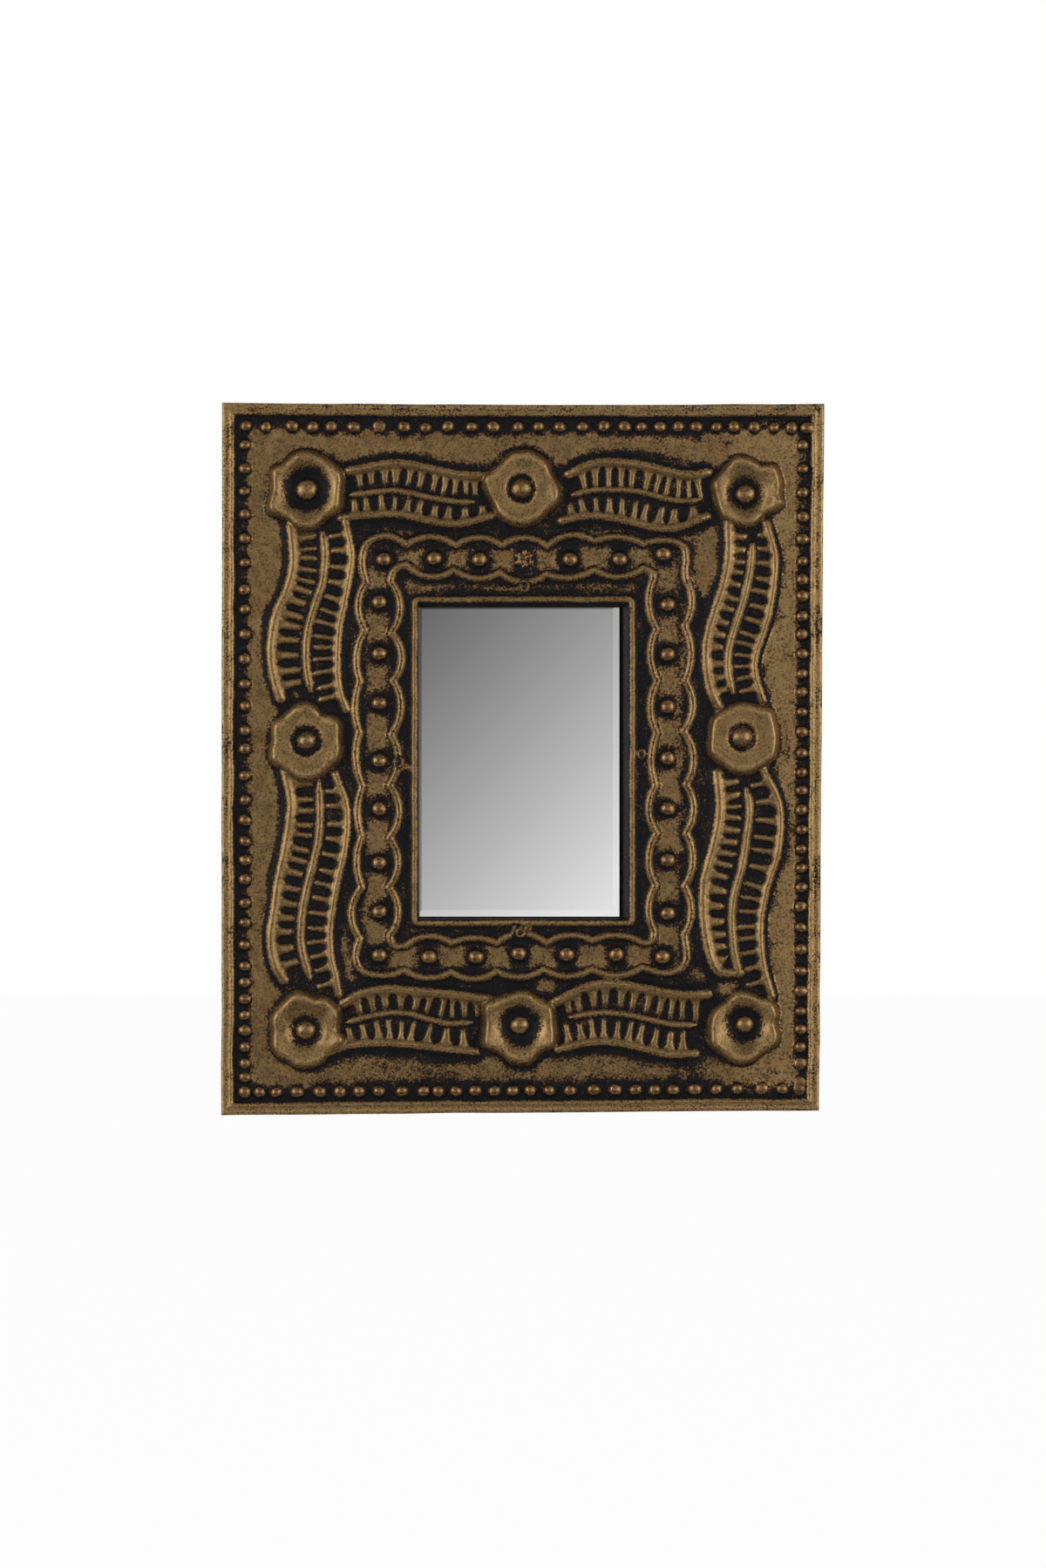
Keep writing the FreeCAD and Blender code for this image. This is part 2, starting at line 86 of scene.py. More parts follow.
def grid_line(low, first, second, high):
    """Even steps through three stretches that share their ends; also the counts of cells up to each end."""
    stretches = ((low, first), (first, second), (second, high))
    counts = [round((b - a) / STEP) for a, b in stretches]
    parts = [np.linspace(a, b, n + 1)[:-1] for (a, b), n in zip(stretches, counts)]
    return np.concatenate(parts + [[high]]), np.cumsum(counts)


xs, x_stops = grid_line(-HALF_WIDTH, WINDOW["left"], WINDOW["right"], HALF_WIDTH)
zs, z_stops = grid_line(-HALF_HEIGHT, WINDOW["bottom"], WINDOW["top"], HALF_HEIGHT)
U, V = np.meshgrid(xs, zs, indexing="ij")


def soft_step(low, high, value):
    """0 below low, 1 above high, and 3t2 - 2t3 between them."""
    t = np.clip((value - low) / (high - low), 0, 1)
    return t * t * (3 - 2 * t)


def drift(x, z, cell, seed):
    """Smooth noise from -1 to 1: random numbers on a lattice of this cell, blended between its corners."""
    lattice = np.random.default_rng(seed).uniform(-1, 1, (80, 80))
    a, b = x / cell + 40.37, z / cell + 40.61
    i, j = np.floor(a).astype(int) % 79, np.floor(b).astype(int) % 79
    s, t = soft_step(0, 1, a - np.floor(a)), soft_step(0, 1, b - np.floor(b))
    low = lattice[i, j] * (1 - s) + lattice[i + 1, j] * s
    high = lattice[i, j + 1] * (1 - s) + lattice[i + 1, j + 1] * s
    return low * (1 - t) + high * t


OUTLINE = {
    "top_left": (-149.8, 177.7), "top_right": (151.3, 177.2),
    "bottom_right": (148.7, -176.3), "bottom_left": (-150.2, -178.6)}
TOP_DIP, EDGE_WAVE = 1.0, 0.22


def edge_lines(x, z):
    """Where the sheet's four edges lie beside each point: straight between corners, with a slight wave."""
    up = (z + HALF_HEIGHT) / (2 * HALF_HEIGHT)
    across = (x + HALF_WIDTH) / (2 * HALF_WIDTH)

    def side(start, end, share, place, axis, cell, seed):
        straight = OUTLINE[start][axis] * (1 - share) + OUTLINE[end][axis] * share
        return straight + EDGE_WAVE * drift(place, 0 * place, cell, seed)

    left = side("bottom_left", "top_left", up, z, 0, 24, 1)
    right = side("bottom_right", "top_right", up, z, 0, 22, 2)
    low = side("bottom_left", "bottom_right", across, x, 1, 25, 3)
    high = side("top_left", "top_right", across, x, 1, 23, 4)
    return left, right, low, high - TOP_DIP * np.sin(math.pi * np.clip(across, 0, 1))


left_edge, right_edge, low_edge, high_edge = edge_lines(U, V)
STILL_HALF_WIDTH, STILL_HALF_HEIGHT = 60, 85
out_x = soft_step(STILL_HALF_WIDTH, HALF_WIDTH, np.abs(U)) ** 0.8
out_z = soft_step(STILL_HALF_HEIGHT, HALF_HEIGHT, np.abs(V)) ** 0.8
X = U + out_x * np.where(U < 0, left_edge + HALF_WIDTH, right_edge - HALF_WIDTH)
Z = V + out_z * np.where(V < 0, low_edge + HALF_HEIGHT, high_edge - HALF_HEIGHT)
print("grid:", X.shape, "points")

# %% [markdown]
# Every mark in the tin is a stamp: it is worked out only in a small part of the grid, and the higher of
# the old and the new height stays. With each height go the share of bronze wash, and how coppery it is.
# A fourth field, shade, holds the places beside the leaves that no rag reached.

# %% The fields of the sheet, and how a stamp is put into them
height = np.zeros_like(X)
wash = np.zeros_like(X)
copper = np.zeros_like(X)
shade = np.zeros_like(X)


def part_of_grid(x_low, x_high, z_low, z_high, margin=2.0):
    """The slices of the grid that cover this rectangle."""
    i = np.searchsorted(xs, (x_low - margin, x_high + margin))
    j = np.searchsorted(zs, (z_low - margin, z_high + margin))
    return slice(max(i[0] - 1, 0), i[1] + 1), slice(max(j[0] - 1, 0), j[1] + 1)


def stamp(where, rise, gold, warm=0.0, fillet=0.0):
    """Keeps the higher surface; the wash follows the surface that is kept. With a fillet, the tin is pulled
    up where two ridges meet, by at most a quarter of the fillet, and the richer wash stays."""
    old = height[where]
    above = rise > old
    if fillet:
        share = np.clip(0.5 + 0.5 * (rise - old) / fillet, 0, 1)
        joint = fillet * share * (1 - share) * soft_step(0, 0.9, np.minimum(rise, old))
        both = (rise > 0) & (old > 0)
        wash[where] = np.where(both, np.maximum(gold, wash[where]), np.where(above, gold, wash[where]))
    else:
        joint = 0.0
        wash[where] = np.where(above, gold, wash[where])
    copper[where] = np.where(above, warm, copper[where])
    height[where] = np.maximum(old, rise) + joint


def rounded(share):
    """The section of a pushed-out ridge: a half cosine from 1 on its crest to 0 at its foot."""
    return 0.5 + 0.5 * np.cos(math.pi * np.clip(share, 0, 1))


def domed(share):
    """The section of a punched boss: a fuller dome, the square root of 1 - r2, drawn in at its foot."""
    return np.sqrt(np.clip(1 - np.clip(share, 0, 1) ** 2, 0, 1)) * (1 - soft_step(0.86, 1.0, share) * 0.3)


def wash_on(share, low=0.08, high=0.42):
    """The wash catches the upper part of a ridge and fades out down its side."""
    return soft_step(low, high, share)


# %% Curves through a table of points
def curve(points, per_span=8):
    """A smooth line through the points: on each span a cubic, whose slope at a point is that of the line
    between the point's two neighbours."""
    p = np.asarray(points, float)
    p = np.vstack([2 * p[0] - p[1], p, 2 * p[-1] - p[-2]])
    t = np.linspace(0, 1, per_span, endpoint=False)[None, :, None]
    a, b, c, d = (p[k : len(p) - 3 + k, None, :] for k in range(4))
    spans = 0.5 * (2 * b + (c - a) * t + (2 * a - 5 * b + 4 * c - d) * t**2 + (3 * b - a - 3 * c + d) * t**3)
    return np.vstack([spans.reshape(-1, 2), p[-2:-1]])


def lengths(line):
    """How far along the line each of its points is, from 0 to 1."""
    steps = np.hypot(*np.diff(line, axis=0).T)
    run = np.concatenate([[0], np.cumsum(steps)])
    return run / run[-1], run[-1]


def at_share(line, share):
    """The places at these shares of a line's length."""
    run, _ = lengths(line)
    return np.stack([np.interp(share, run, line[:, 0]), np.interp(share, run, line[:, 1])], -1)


def from_straight(where, a, b):
    """From each grid point to the straight piece from a to b: the distance, and where along it, from 0 to 1."""
    step = b - a
    dot = (X[where] - a[0]) * step[0] + (Z[where] - a[1]) * step[1]
    t = np.clip(dot / max(step @ step, 1e-9), 0, 1)
    return np.hypot(X[where] - a[0] - t * step[0], Z[where] - a[1] - t * step[1]), t


def beside(line, reach):
    """For every grid point near the line: its distance from it, and how far along the line that is."""
    low, high = line.min(0) - reach, line.max(0) + reach
    where = part_of_grid(low[0], high[0], low[1], high[1])
    far = np.full(X[where].shape, 1e9)
    along = np.zeros_like(far)
    run, _ = lengths(line)
    for k in range(len(line) - 1):
        a, b = line[k], line[k + 1]
        lo, hi = np.minimum(a, b) - reach, np.maximum(a, b) + reach
        part = part_of_grid(lo[0], hi[0], lo[1], hi[1])
        own = tuple(slice(p.start - w.start, p.stop - w.start) for p, w in zip(part, where))
        d, t = from_straight(part, a, b)
        closer = d < far[own]
        far[own] = np.where(closer, d, far[own])
        along[own] = np.where(closer, run[k] + t * (run[k + 1] - run[k]), along[own])
    return where, far, along


def ridge(line, half, rise, taper=0.0, crease_and_painted_shade=0.0, gold=(0.08, 0.42), warm=0.0):
    """A ridge of this half width and rise along a line. Its ends may taper, and its crest may hold a fine
    crease where the ridge runs up and down, darker and more coppery in colour: a real crease with painted shade
    between the two side highlights. There it is a little wider too."""
    where, far, along = beside(line, half + 1)
    if taper:
        ends = np.minimum(along, 1 - along) / taper
        swell = 0.55 + 0.45 * soft_step(0, 1, ends)
    else:
        swell = 1.0
    run, _ = lengths(line)
    heading = np.gradient(line, axis=0)
    upright = np.interp(along, run, np.abs(heading[:, 1]) / np.hypot(*heading.T))
    share = far / (half * swell * (0.86 + 0.14 * upright))
    lift = rounded(share) ** 0.9 * rise * (0.7 + 0.3 * swell)
    fold = np.exp(-((far / 0.65) ** 2)) * soft_step(0.45, 0.9, upright)
    lift = lift - crease_and_painted_shade * fold * (lift > 0)
    # Painted shade: along the crease of upright ridges the wash is darker and more coppery.
    gold = wash_on(rounded(share), *gold) * (1 - 1.6 * crease_and_painted_shade * fold)
    stamp(where, np.where(share < 1, lift, 0), gold, warm + 2.4 * crease_and_painted_shade * fold)


# %% [markdown]
# The rim is the rolled edge of the sheet. It has a fine outer line and a stronger inner one.
# Its height depends only on the distance to the nearest edge of the sheet, which also mitres its corners.

# %% The rim
RIM_WIDTH, RIM_RISE = 5.7, 1.6
inset = np.minimum(np.minimum(X - left_edge, right_edge - X), np.minimum(Z - low_edge, high_edge - Z))
inset = inset + 0.25 * drift(X, Z, 17, 5) * soft_step(1, 4, inset)
fall = 1 - soft_step(RIM_WIDTH, RIM_WIDTH + 1.1, inset)
rolled = 0.45 + 0.55 * np.sqrt(np.clip(1 - np.clip(1 - inset / 1.3, 0, 1) ** 2, 0, 1))


def line_in_rim(middle, half):
    """A fine line all round the rim, this far from the edge of the sheet: a half cosine across it."""
    return rounded(np.abs(inset - middle) / half)


lines = 0.20 * line_in_rim(1.0, 0.7) + 0.42 * line_in_rim(4.9, 1.0) - 0.15 * line_in_rim(2.6, 1.2)
rim = fall * (RIM_RISE * rolled + lines + 0.12 * drift(X, Z, 9, 6))
rim_gold = soft_step(0.5, 0.95, fall) * (0.92 - 0.35 * line_in_rim(2.7, 0.9) + 0.25 * drift(X, Z, 6, 7))
at_left_or_right = np.abs(X) / HALF_WIDTH > np.abs(Z) / HALF_HEIGHT
streaks = drift(np.where(at_left_or_right, Z, X) / 7, inset, 0.9, 9)
# Within about a millimetre of the sheet's edge the rim loses wash and turns darker.
darker_outer_edge = soft_step(0.9, 0.0, inset) * (0.6 + 0.6 * drift(X, Z, 8, 8))
rim_gold = rim_gold + 0.19 * streaks - 0.06 - 0.44 * darker_outer_edge + 0.16 * soft_step(-168, -172, Z)
stamp(np.s_[:, :], rim, rim_gold, 0.25 * line_in_rim(4.9, 1.2))
print("rim rises to %.2f mm" % rim.max())

# %% [markdown]
# Inside the rim runs a row of small bosses, punched one by one and never quite in line.
# The table gives the middle of each one; a few were struck too lightly and are nearly flat.

# %% The row of small bosses
ROW_TOP = [
    (282, 489), (305, 490), (335, 489), (359, 490), (380, 490), (406, 490), (435, 489), (464, 490),
    (488, 491), (514, 490), (541, 490), (566, 490), (594, 490), (618, 490), (642, 490), (668, 490),
    (693, 489), (717, 490), (736, 490), (757, 490), (778, 490), (799, 490), (822, 490), (842, 490),
    (865, 490), (888, 491), (908, 491), (926, 491)]
ROW_LEFT = [(281, y) for y in (
    511, 538, 564, 590, 618, 646, 677, 699, 728, 756, 785, 810, 838, 859, 890, 918, 941, 965, 987, 1009,
    1036, 1058, 1084, 1108, 1127, 1146, 1165, 1182, 1201, 1220, 1236)]
ROW_RIGHT = [(921 - 3 * (y - 511) / 731, y) for y in (
    511, 538, 565, 593, 619, 644, 665, 684, 707, 728, 750, 773, 794, 817, 840, 864, 886, 907, 929, 952, 974,
    996, 1018, 1040, 1064, 1089, 1114, 1137, 1160, 1181, 1201, 1220, 1242)]
ROW_LOW = [(x, 1253 - 4 * (x - 281) / 636) for x in (
    281, 298, 317, 341, 367, 390, 412, 435, 461, 486, 503, 523, 545, 567, 588, 608, 630, 654, 681, 706, 729,
    751, 772, 797, 822, 846, 874, 897, 917)]
FAINT = {(435, 489): 0.35, ROW_RIGHT[-1]: 0.4, ROW_RIGHT[-2]: 0.5, ROW_LOW[-3]: 0.6, ROW_LOW[-1]: 0.4}
SMALL_BOSS, SMALL_RISE = 3.3, 2.9
hand = np.random.default_rng(11)


def boss(centre, radius, rise, squash=1.0, turn=0.0, gold=(0.25, 0.7), warm=1.0):
    """One dome, a little longer one way than the other, and more coppery on its left."""
    x, z = centre
    where = part_of_grid(x - radius, x + radius, z - radius, z + radius)
    a, b = X[where] - x, Z[where] - z
    along = (a * math.cos(turn) + b * math.sin(turn)) / squash
    across = -a * math.sin(turn) + b * math.cos(turn)
    share = np.hypot(along, across) / radius
    dome = domed(share)
    warmth = warm * soft_step(0.1, 0.5, dome) * (0.75 - 0.4 * np.clip(a / radius, -1, 1))
    stamp(where, np.where(share < 1, dome * rise, 0), wash_on(dome, *gold), warmth)


row = [(p, on_sheet(p)) for p in ROW_TOP + ROW_LEFT + ROW_RIGHT + ROW_LOW]
for pixel, centre in row:
    strength = FAINT.get(tuple(pixel), 1.0)
    wobble = hand.uniform(-1, 1, 4)
    size = SMALL_BOSS * (1 + 0.07 * wobble[0])
    rise = SMALL_RISE * strength * (1 + 0.1 * wobble[3])
    boss(centre + 0.12 * wobble[1:3], size, rise, 1.07, wobble[0] * 3)
print(len(row), "small bosses")

# %% [markdown]
# Eight flowers stand at the corners and at the middle of each side. Their outline is a radius that was
# measured every 15 degrees, anticlockwise from the right, and it is joined by a smooth periodic curve.
# Some are hollowed like a cup, others are flat with a narrow ring sunk round the middle boss.

# %% The flowers
FLOWERS = {
    "top_left": ((352, 562), 29, 12.5, 0.95, [
        43, 46, 48, 45, 44, 45, 47, 47, 44, 43, 49, 45, 43, 48, 54, 47, 44, 48, 50, 48, 43, 44, 47, 44]),
    "top_middle": ((598, 561), 16, 12, 0.55, [
        47, 43, 42, 45, 46, 47, 46, 45, 41, 40, 43, 48, 44, 40, 39, 42, 44, 45, 46, 45, 44, 43, 46, 49]),
    "top_right": ((855, 567), 21, 11.5, 0.85, [
        43, 46, 48, 50, 41, 42, 45, 47, 42, 40, 41, 42, 38, 37, 38, 40, 39, 39, 40, 39, 36, 35, 42, 48]),
    "left_middle": ((352, 850), 18, 11, 0.55, [
        41, 43, 46, 43, 38, 43, 47, 46, 43, 42, 46, 44, 42, 46, 50, 46, 45, 48, 49, 48, 45, 44, 46, 44]),
    "right_middle": ((851, 846), 15.5, 12, 0.5, [
        44, 44, 46, 49, 44, 42, 42, 41, 41, 42, 42, 40, 39, 42, 44, 42, 42, 44, 45, 45, 44, 45, 47, 45]),
    "bottom_left": ((351, 1182), 20, 11.5, 0.6, [
        40, 42, 47, 47, 47, 42, 46, 49, 46, 44, 45, 44, 41, 43, 47, 46, 43, 46, 46, 45, 43, 40, 44, 50]),
    "bottom_middle": ((596, 1176), 26, 11, 0.8, [
        43, 44, 46, 43, 40, 42, 42, 40, 41, 46, 50, 45, 43, 46, 51, 44, 42, 46, 48, 48, 43, 43, 49, 46]),
    "bottom_right": ((854, 1175), 24, 10.5, 0.85, [
        38, 42, 44, 43, 38, 38, 40, 41, 37, 37, 40, 42, 43, 45, 49, 46, 46, 48, 48, 45, 41, 43, 46, 43]),
}
FLOWER_RISE, FLOWER_BOSS_RISE = 4.9, 4.4
WALL_SHARE, WIDE_CUP = 0.79, 19


def petal_radius(angle, radii):
    """A smooth periodic radius through the measured ones: between each pair the same cubic as in curve."""
    r = np.asarray(radii, float)
    s = (angle / (2 * math.pi) * len(r)) % len(r)
    k = np.floor(s).astype(int)
    t = s - k
    a, b, c, d = (r[(k + m) % len(r)] for m in (-1, 0, 1, 2))
    return 0.5 * (2 * b + (c - a) * t + (2 * a - 5 * b + 4 * c - d) * t**2 + (3 * b - a - 3 * c + d) * t**3)


def flower(centre, cup, middle, depth, radii):
    """The wall climbs in the outer fifth, the top swells a little, and inside the cup's edge it falls to its
    floor. The cup's floor stays black, with an uneven edge."""
    x, z = on_sheet(centre)
    reach = (max(radii) + 3) * MM_PER_PIXEL
    where = part_of_grid(x - reach, x + reach, z - reach, z + reach)
    a, b = X[where] - x, Z[where] - z
    r = np.hypot(a, b)
    edge = (petal_radius(np.arctan2(b, a) % (2 * math.pi), radii) + 1.5) * MM_PER_PIXEL
    share = r / edge
    wide = cup > WIDE_CUP
    cup_edge, floor_edge = (cup + (5 if wide else 2)) * MM_PER_PIXEL, (middle + 1.0) * MM_PER_PIXEL
    wall = 1 - soft_step(WALL_SHARE, 1.0, share) ** 1.25
    lobes = (edge - edge.mean()) / edge.mean() * soft_step(0.4, 0.85, share)
    top = wall * (0.92 + 0.08 * rounded(np.abs(share - WALL_SHARE) / 0.27) + 1.3 * lobes)
    slope = soft_step(floor_edge, cup_edge, r)
    bowl = 1 - depth * (1 - slope)
    if wide:
        bowl = bowl * (1 - 0.14 * (1 - soft_step(cup_edge * 0.8, WALL_SHARE * edge, r)))
    rise = FLOWER_RISE * top * bowl * (1 + 0.05 * drift(X[where], Z[where], 7, 21))
    uneven = 0.7 * drift(X[where], Z[where], 5, 22) + 0.7 * drift(X[where], Z[where], 1.6, 23)
    black_edge = cup * MM_PER_PIXEL
    dark = 1 - soft_step(black_edge - (3.6 if wide else 2.0), black_edge + 1.8, r + uneven)
    gold = soft_step(0.03, 0.32, wall) * (1 - dark)
    stamp(where, np.where(share < 1, rise, 0), gold, 0.25 * soft_step(0.75, 0.9, share))
    boss_rise = FLOWER_BOSS_RISE * (1.0 if depth > 0.6 else 1.05)
    boss((x, z), middle * MM_PER_PIXEL * 1.06, boss_rise, 1.05, 0.4, (0.3, 0.7), 0.45)


for centre, cup, middle, depth, radii in FLOWERS.values():
    flower(centre, cup, middle, depth, radii)
print(len(FLOWERS), "flowers, up to %.2f mm high" % height.max())

# %% [markdown]
# Between the flowers run eight leaves, like a fern: two broad edge ridges, a vein between them, and teeth
# that reach from each edge ridge towards the vein. The three lines of each leaf come from a table, and
# the teeth are spread along the vein, evenly but for the hand's slips, square to it. Each row of teeth
# has its own count, reach and widths.

# %% The leaves between the flowers
LEAVES = {
    "top_left": (
        [(401, 540), (447, 532), (470, 533), (504, 540), (529, 545), (558, 546)],
        [(402, 568), (447, 563), (470, 566), (504, 573), (527, 576), (543, 576)],
        [(391, 594), (424, 591), (458, 590), (481, 595), (515, 601), (538, 599), (565, 591)],
        (11, 0.80, 3.0, 1.0), (10, 0.80, 3.4, 0.9)),
    "top_right": (
        [(653, 544), (674, 534), (696, 530), (732, 533), (767, 541), (791, 545), (811, 542)],
        [(656, 568), (677, 563), (696, 562), (732, 564), (767, 573), (791, 575), (804, 573)],
        [(644, 597), (673, 592), (696, 593), (733, 601), (755, 606), (778, 605), (811, 592)],
        (11, 0.98, 2.7, 1.2), (10, 0.76, 3.4, 0.9)),
    "left_upper": (
        [(334, 604), (337, 645), (330, 676), (318, 703), (313, 725), (311, 749), (313, 769), (317, 785),
         (322, 801)],
        [(370, 611), (373, 634), (370, 668), (360, 698), (353, 725), (351, 752), (353, 774), (357, 793)],
        [(396, 599), (403, 634), (401, 657), (395, 691), (389, 721), (387, 755), (387, 774), (390, 794),
         (397, 814)],
        (13, 0.80, 3.0, 1.4), (13, 0.82, 2.1, 1.3)),
    "left_lower": (
        [(328, 887), (334, 919), (332, 947), (327, 977), (320, 1009), (316, 1038), (311, 1073), (313, 1095),
         (318, 1112), (326, 1124)],
        [(366, 898), (367, 924), (366, 958), (360, 988), (353, 1015), (347, 1045), (345, 1077), (349, 1100),
         (356, 1123)],
        [(384, 888), (396, 920), (398, 947), (394, 981), (387, 1010), (381, 1044), (378, 1073), (380, 1100),
         (385, 1121), (388, 1141)],
        (14, 0.80, 3.0, 1.4), (14, 0.80, 2.1, 1.3)),
    "right_upper": (
        [(836, 601), (836, 639), (830, 671), (821, 699), (812, 729), (810, 755), (812, 775), (816, 793),
         (824, 810)],
        [(863, 625), (861, 651), (856, 677), (848, 705), (839, 733), (835, 755), (836, 775), (841, 795)],
        [(878, 600), (888, 634), (888, 662), (884, 692), (877, 720), (866, 753), (866, 775), (875, 804)],
        (13, 0.78, 3.2, 1.3), (13, 0.80, 1.9, 1.4)),
    "right_lower": (
        [(823, 887), (826, 924), (823, 952), (815, 984), (808, 1011), (807, 1045), (810, 1074), (817, 1102),
         (827, 1115), (848, 1116)],
        [(856, 905), (860, 929), (856, 964), (851, 995), (843, 1023), (840, 1046), (840, 1067), (843, 1095),
         (849, 1119)],
        [(875, 883), (892, 918), (895, 948), (891, 982), (881, 1013), (875, 1038), (872, 1060), (873, 1091),
         (877, 1115), (885, 1143)],
        (15, 0.76, 3.5, 1.4), (14, 0.84, 1.7, 1.4)),
    "bottom_left": (
        [(394, 1151), (415, 1139), (447, 1134), (481, 1137), (515, 1140), (562, 1146)],
        [(398, 1173), (419, 1167), (447, 1162), (470, 1163), (492, 1169), (515, 1174), (541, 1173)],
        [(366, 1211), (400, 1199), (435, 1196), (470, 1198), (504, 1202), (546, 1206)],
        (10, 0.84, 3.2, 1.1), (10, 0.80, 3.3, 0.9)),
    "bottom_right": (
        [(636, 1150), (669, 1133), (696, 1128), (732, 1132), (767, 1139), (791, 1141), (812, 1140)],
        [(654, 1167), (684, 1162), (713, 1163), (743, 1169), (772, 1175), (798, 1176)],
        [(640, 1203), (680, 1195), (708, 1196), (737, 1202), (767, 1209), (798, 1208)],
        (11, 0.86, 3.2, 1.2), (10, 0.80, 3.2, 0.9)),
}
EDGE_HALF, EDGE_RISE = 4.3, 3.0
VEIN_HALF, VEIN_RISE = 3.2, 2.4
TOOTH_RISE, HALO, GUIDE_POINTS = 1.8, 7.6, 90


def spread_from(line, where):
    """Over a whole window: the distance from a line, and how far along it the nearest place is."""
    run, _ = lengths(line)
    far, along = np.full(X[where].shape, 1e9), np.zeros(X[where].shape)
    for k in range(len(line) - 1):
        d, t = from_straight(where, line[k], line[k + 1])
        along = np.where(d < far, run[k] + t * (run[k + 1] - run[k]), along)
        far = np.minimum(far, d)
    return far, along


def lengthened(line, by=15.0):
    """The line with a straight piece of this length added at each end."""
    first, last = line[0] - line[2], line[-1] - line[-3]
    return np.vstack([line[0] + first / np.hypot(*first) * by, line, line[-1] + last / np.hypot(*last) * by])


def teeth(edge, vein, outer_half, inner_half, count, reach, root_width, tip_width):
    """A row of teeth that stand square to the vein, and the edge ridge from which they grow. Half a tooth's
    width tapers straight from root to tip, with a small flare, a quarter circle, at the edge ridge."""
    low, high = np.minimum(edge.min(0), vein.min(0)), np.maximum(edge.max(0), vein.max(0))
    where = part_of_grid(low[0] - HALO, high[0] + HALO, low[1] - HALO, high[1] + HALO)
    guide = at_share(lengthened(vein), np.linspace(0, 1, GUIDE_POINTS))
    from_edge, along = spread_from(edge, where)
    from_vein, along_vein = spread_from(guide, where)
    stations = np.linspace(0, 1, 40)
    apart = np.hypot(*(at_share(edge, stations)[:, None] - guide[None]).transpose(2, 0, 1))
    gaps, beside_vein = apart.min(1), apart.argmin(1) / (GUIDE_POINTS - 1)
    along_vein = (along_vein - beside_vein[0]) / (beside_vein[-1] - beside_vein[0])
    gap = np.interp(along, stations, gaps)
    inside = (from_edge + from_vein < 1.1 * gap + 0.6) & (along > 0.002) & (along < 0.998)
    way = np.clip(from_edge / gap, 0, 1)
    shares = (np.arange(count) + 0.5) / count
    shares = 0.035 + 0.93 * (shares + hand.uniform(-0.13, 0.13, count) / count)
    length = (beside_vein[-1] - beside_vein[0]) * lengths(guide)[1]
    from_tooth = np.abs(along_vein[..., None] - shares).min(-1) * length
    pitch = length / count
    start = inner_half / gap * 0.6
    upright = np.ptp(edge[:, 1]) > np.ptp(edge[:, 0])
    past = np.clip((way - start) / (1 - start), 0, 1)
    flare = (1 - np.sqrt(np.clip(1 - (1 - np.clip(past / 0.3, 0, 1)) ** 2, 0, 1))) * pitch * 0.28
    half = flare + 0.5 * (root_width * (1 - past) + (tip_width + 0.5) * past) + (0.6 if upright else 0.35)
    section = 1 - soft_step(0.62, 1.12, from_tooth / half)
    reaches = reach + 0.07 * drift(X[where], Z[where], 5, 27)
    ends = 1 - soft_step(reaches - 0.15, reaches + 0.12, way)
    rise = TOOTH_RISE * (1.0 - 0.35 * way) * section * ends * inside
    gold = soft_step(0.2, 0.7, section) * (1 - 0.9 * soft_step(reaches - 0.16, reaches + 0.06, way))
    stamp(where, rise, gold, 0.1)
    outside = from_vein > gap * 0.98 + 0.5 * from_edge
    share = from_edge / np.where(outside, outer_half, inner_half)
    lift = rounded(share) ** 0.85 * EDGE_RISE * (0.8 + 0.2 * soft_step(0, 0.05, np.minimum(along, 1 - along)))
    fold = np.exp(-((from_edge / 0.5) ** 2))
    gold = np.where(outside, wash_on(rounded(share), 0.12, 1.0), wash_on(rounded(share), 0.05, 0.7))
    gold = gold * (1 - 0.08 * fold)
    stamp(where, np.where(share < 1, lift - 0.05 * fold, 0), gold, 0.15 * outside + 0.25 * fold, 0.5)
    halo = np.minimum(from_edge, from_vein) - 2.6 * drift(X[where], Z[where], 21, 28)
    shade[where] = np.max([shade[where], 1 - soft_step(EDGE_HALF - 0.8, HALO, halo), 2.0 * inside], axis=0)


def leaf(first, vein, second, first_row, second_row):
    """Two rows of teeth with their edge ridges, and the vein. The veins on the left have a crease, darkened in
    colour along it as painted shade.
    """
    first, vein, second = (curve(on_sheet(line)) for line in (first, vein, second))
    upright = np.ptp(vein[:, 1]) > np.ptp(vein[:, 0])
    teeth(first, vein, EDGE_HALF + 0.8 * upright, 4.2, *first_row)
    teeth(second, vein, EDGE_HALF, 3.2, *second_row)
    folded = upright and vein[0, 0] < 0
    crease_and_painted_shade = 0.2 if folded else 0.05
    ridge(vein, VEIN_HALF + 0.3 * upright, VEIN_RISE, taper=0.05, crease_and_painted_shade=crease_and_painted_shade, gold=(0.12, 0.6))


for lines_and_rows in LEAVES.values():
    leaf(*lines_and_rows)
print(len(LEAVES), "leaves")

# %% [markdown]
# Round the window runs a chain: a row of bosses between two scalloped ridges. Each scallop is an arc of
# a circle through three points, bulging beside its boss, and two arcs meet in a sharp notch.
# Both ridges turn round each corner of the chain along a few points of their own. The hand that pressed
# them wandered by a millimetre or two, so every notch and every bulge has its own place.

# %% The chain
CHAIN_TOP = [(440, 642), (498, 641), (550, 642), (601.5, 642), (654, 642), (711, 642), (761, 636)]
CHAIN_RIGHT = [(766, y) for y in (694, 751, 811, 870, 928, 987, 1048)]
CHAIN_LOW = [(760, 1098), (707, 1095), (650, 1095), (595, 1094), (546, 1098), (492, 1098)]
CHAIN_LEFT = [(435, y) for y in (1096, 1046, 990, 928, 873, 807, 750, 691)]
chain = on_sheet(CHAIN_TOP + CHAIN_RIGHT + CHAIN_LOW + CHAIN_LEFT)
OUTER_NOTCHES = [  # after each boss, beginning after the first of the top row
    (467, 625), (523, 626), (576, 626), (628, 627), (682, 621), (738, 624), (787, 666), (785, 718),
    (786, 781), (784, 839), (787, 900), (787, 956), (785, 1017), (785, 1073), (737, 1110), (679, 1112),
    (623, 1112), (570, 1114), (518, 1115), (464, 1113), (413, 1077), (415, 1018), (415, 960), (416, 902),
    (412, 840), (413, 782), (419, 723), (420, 668)]
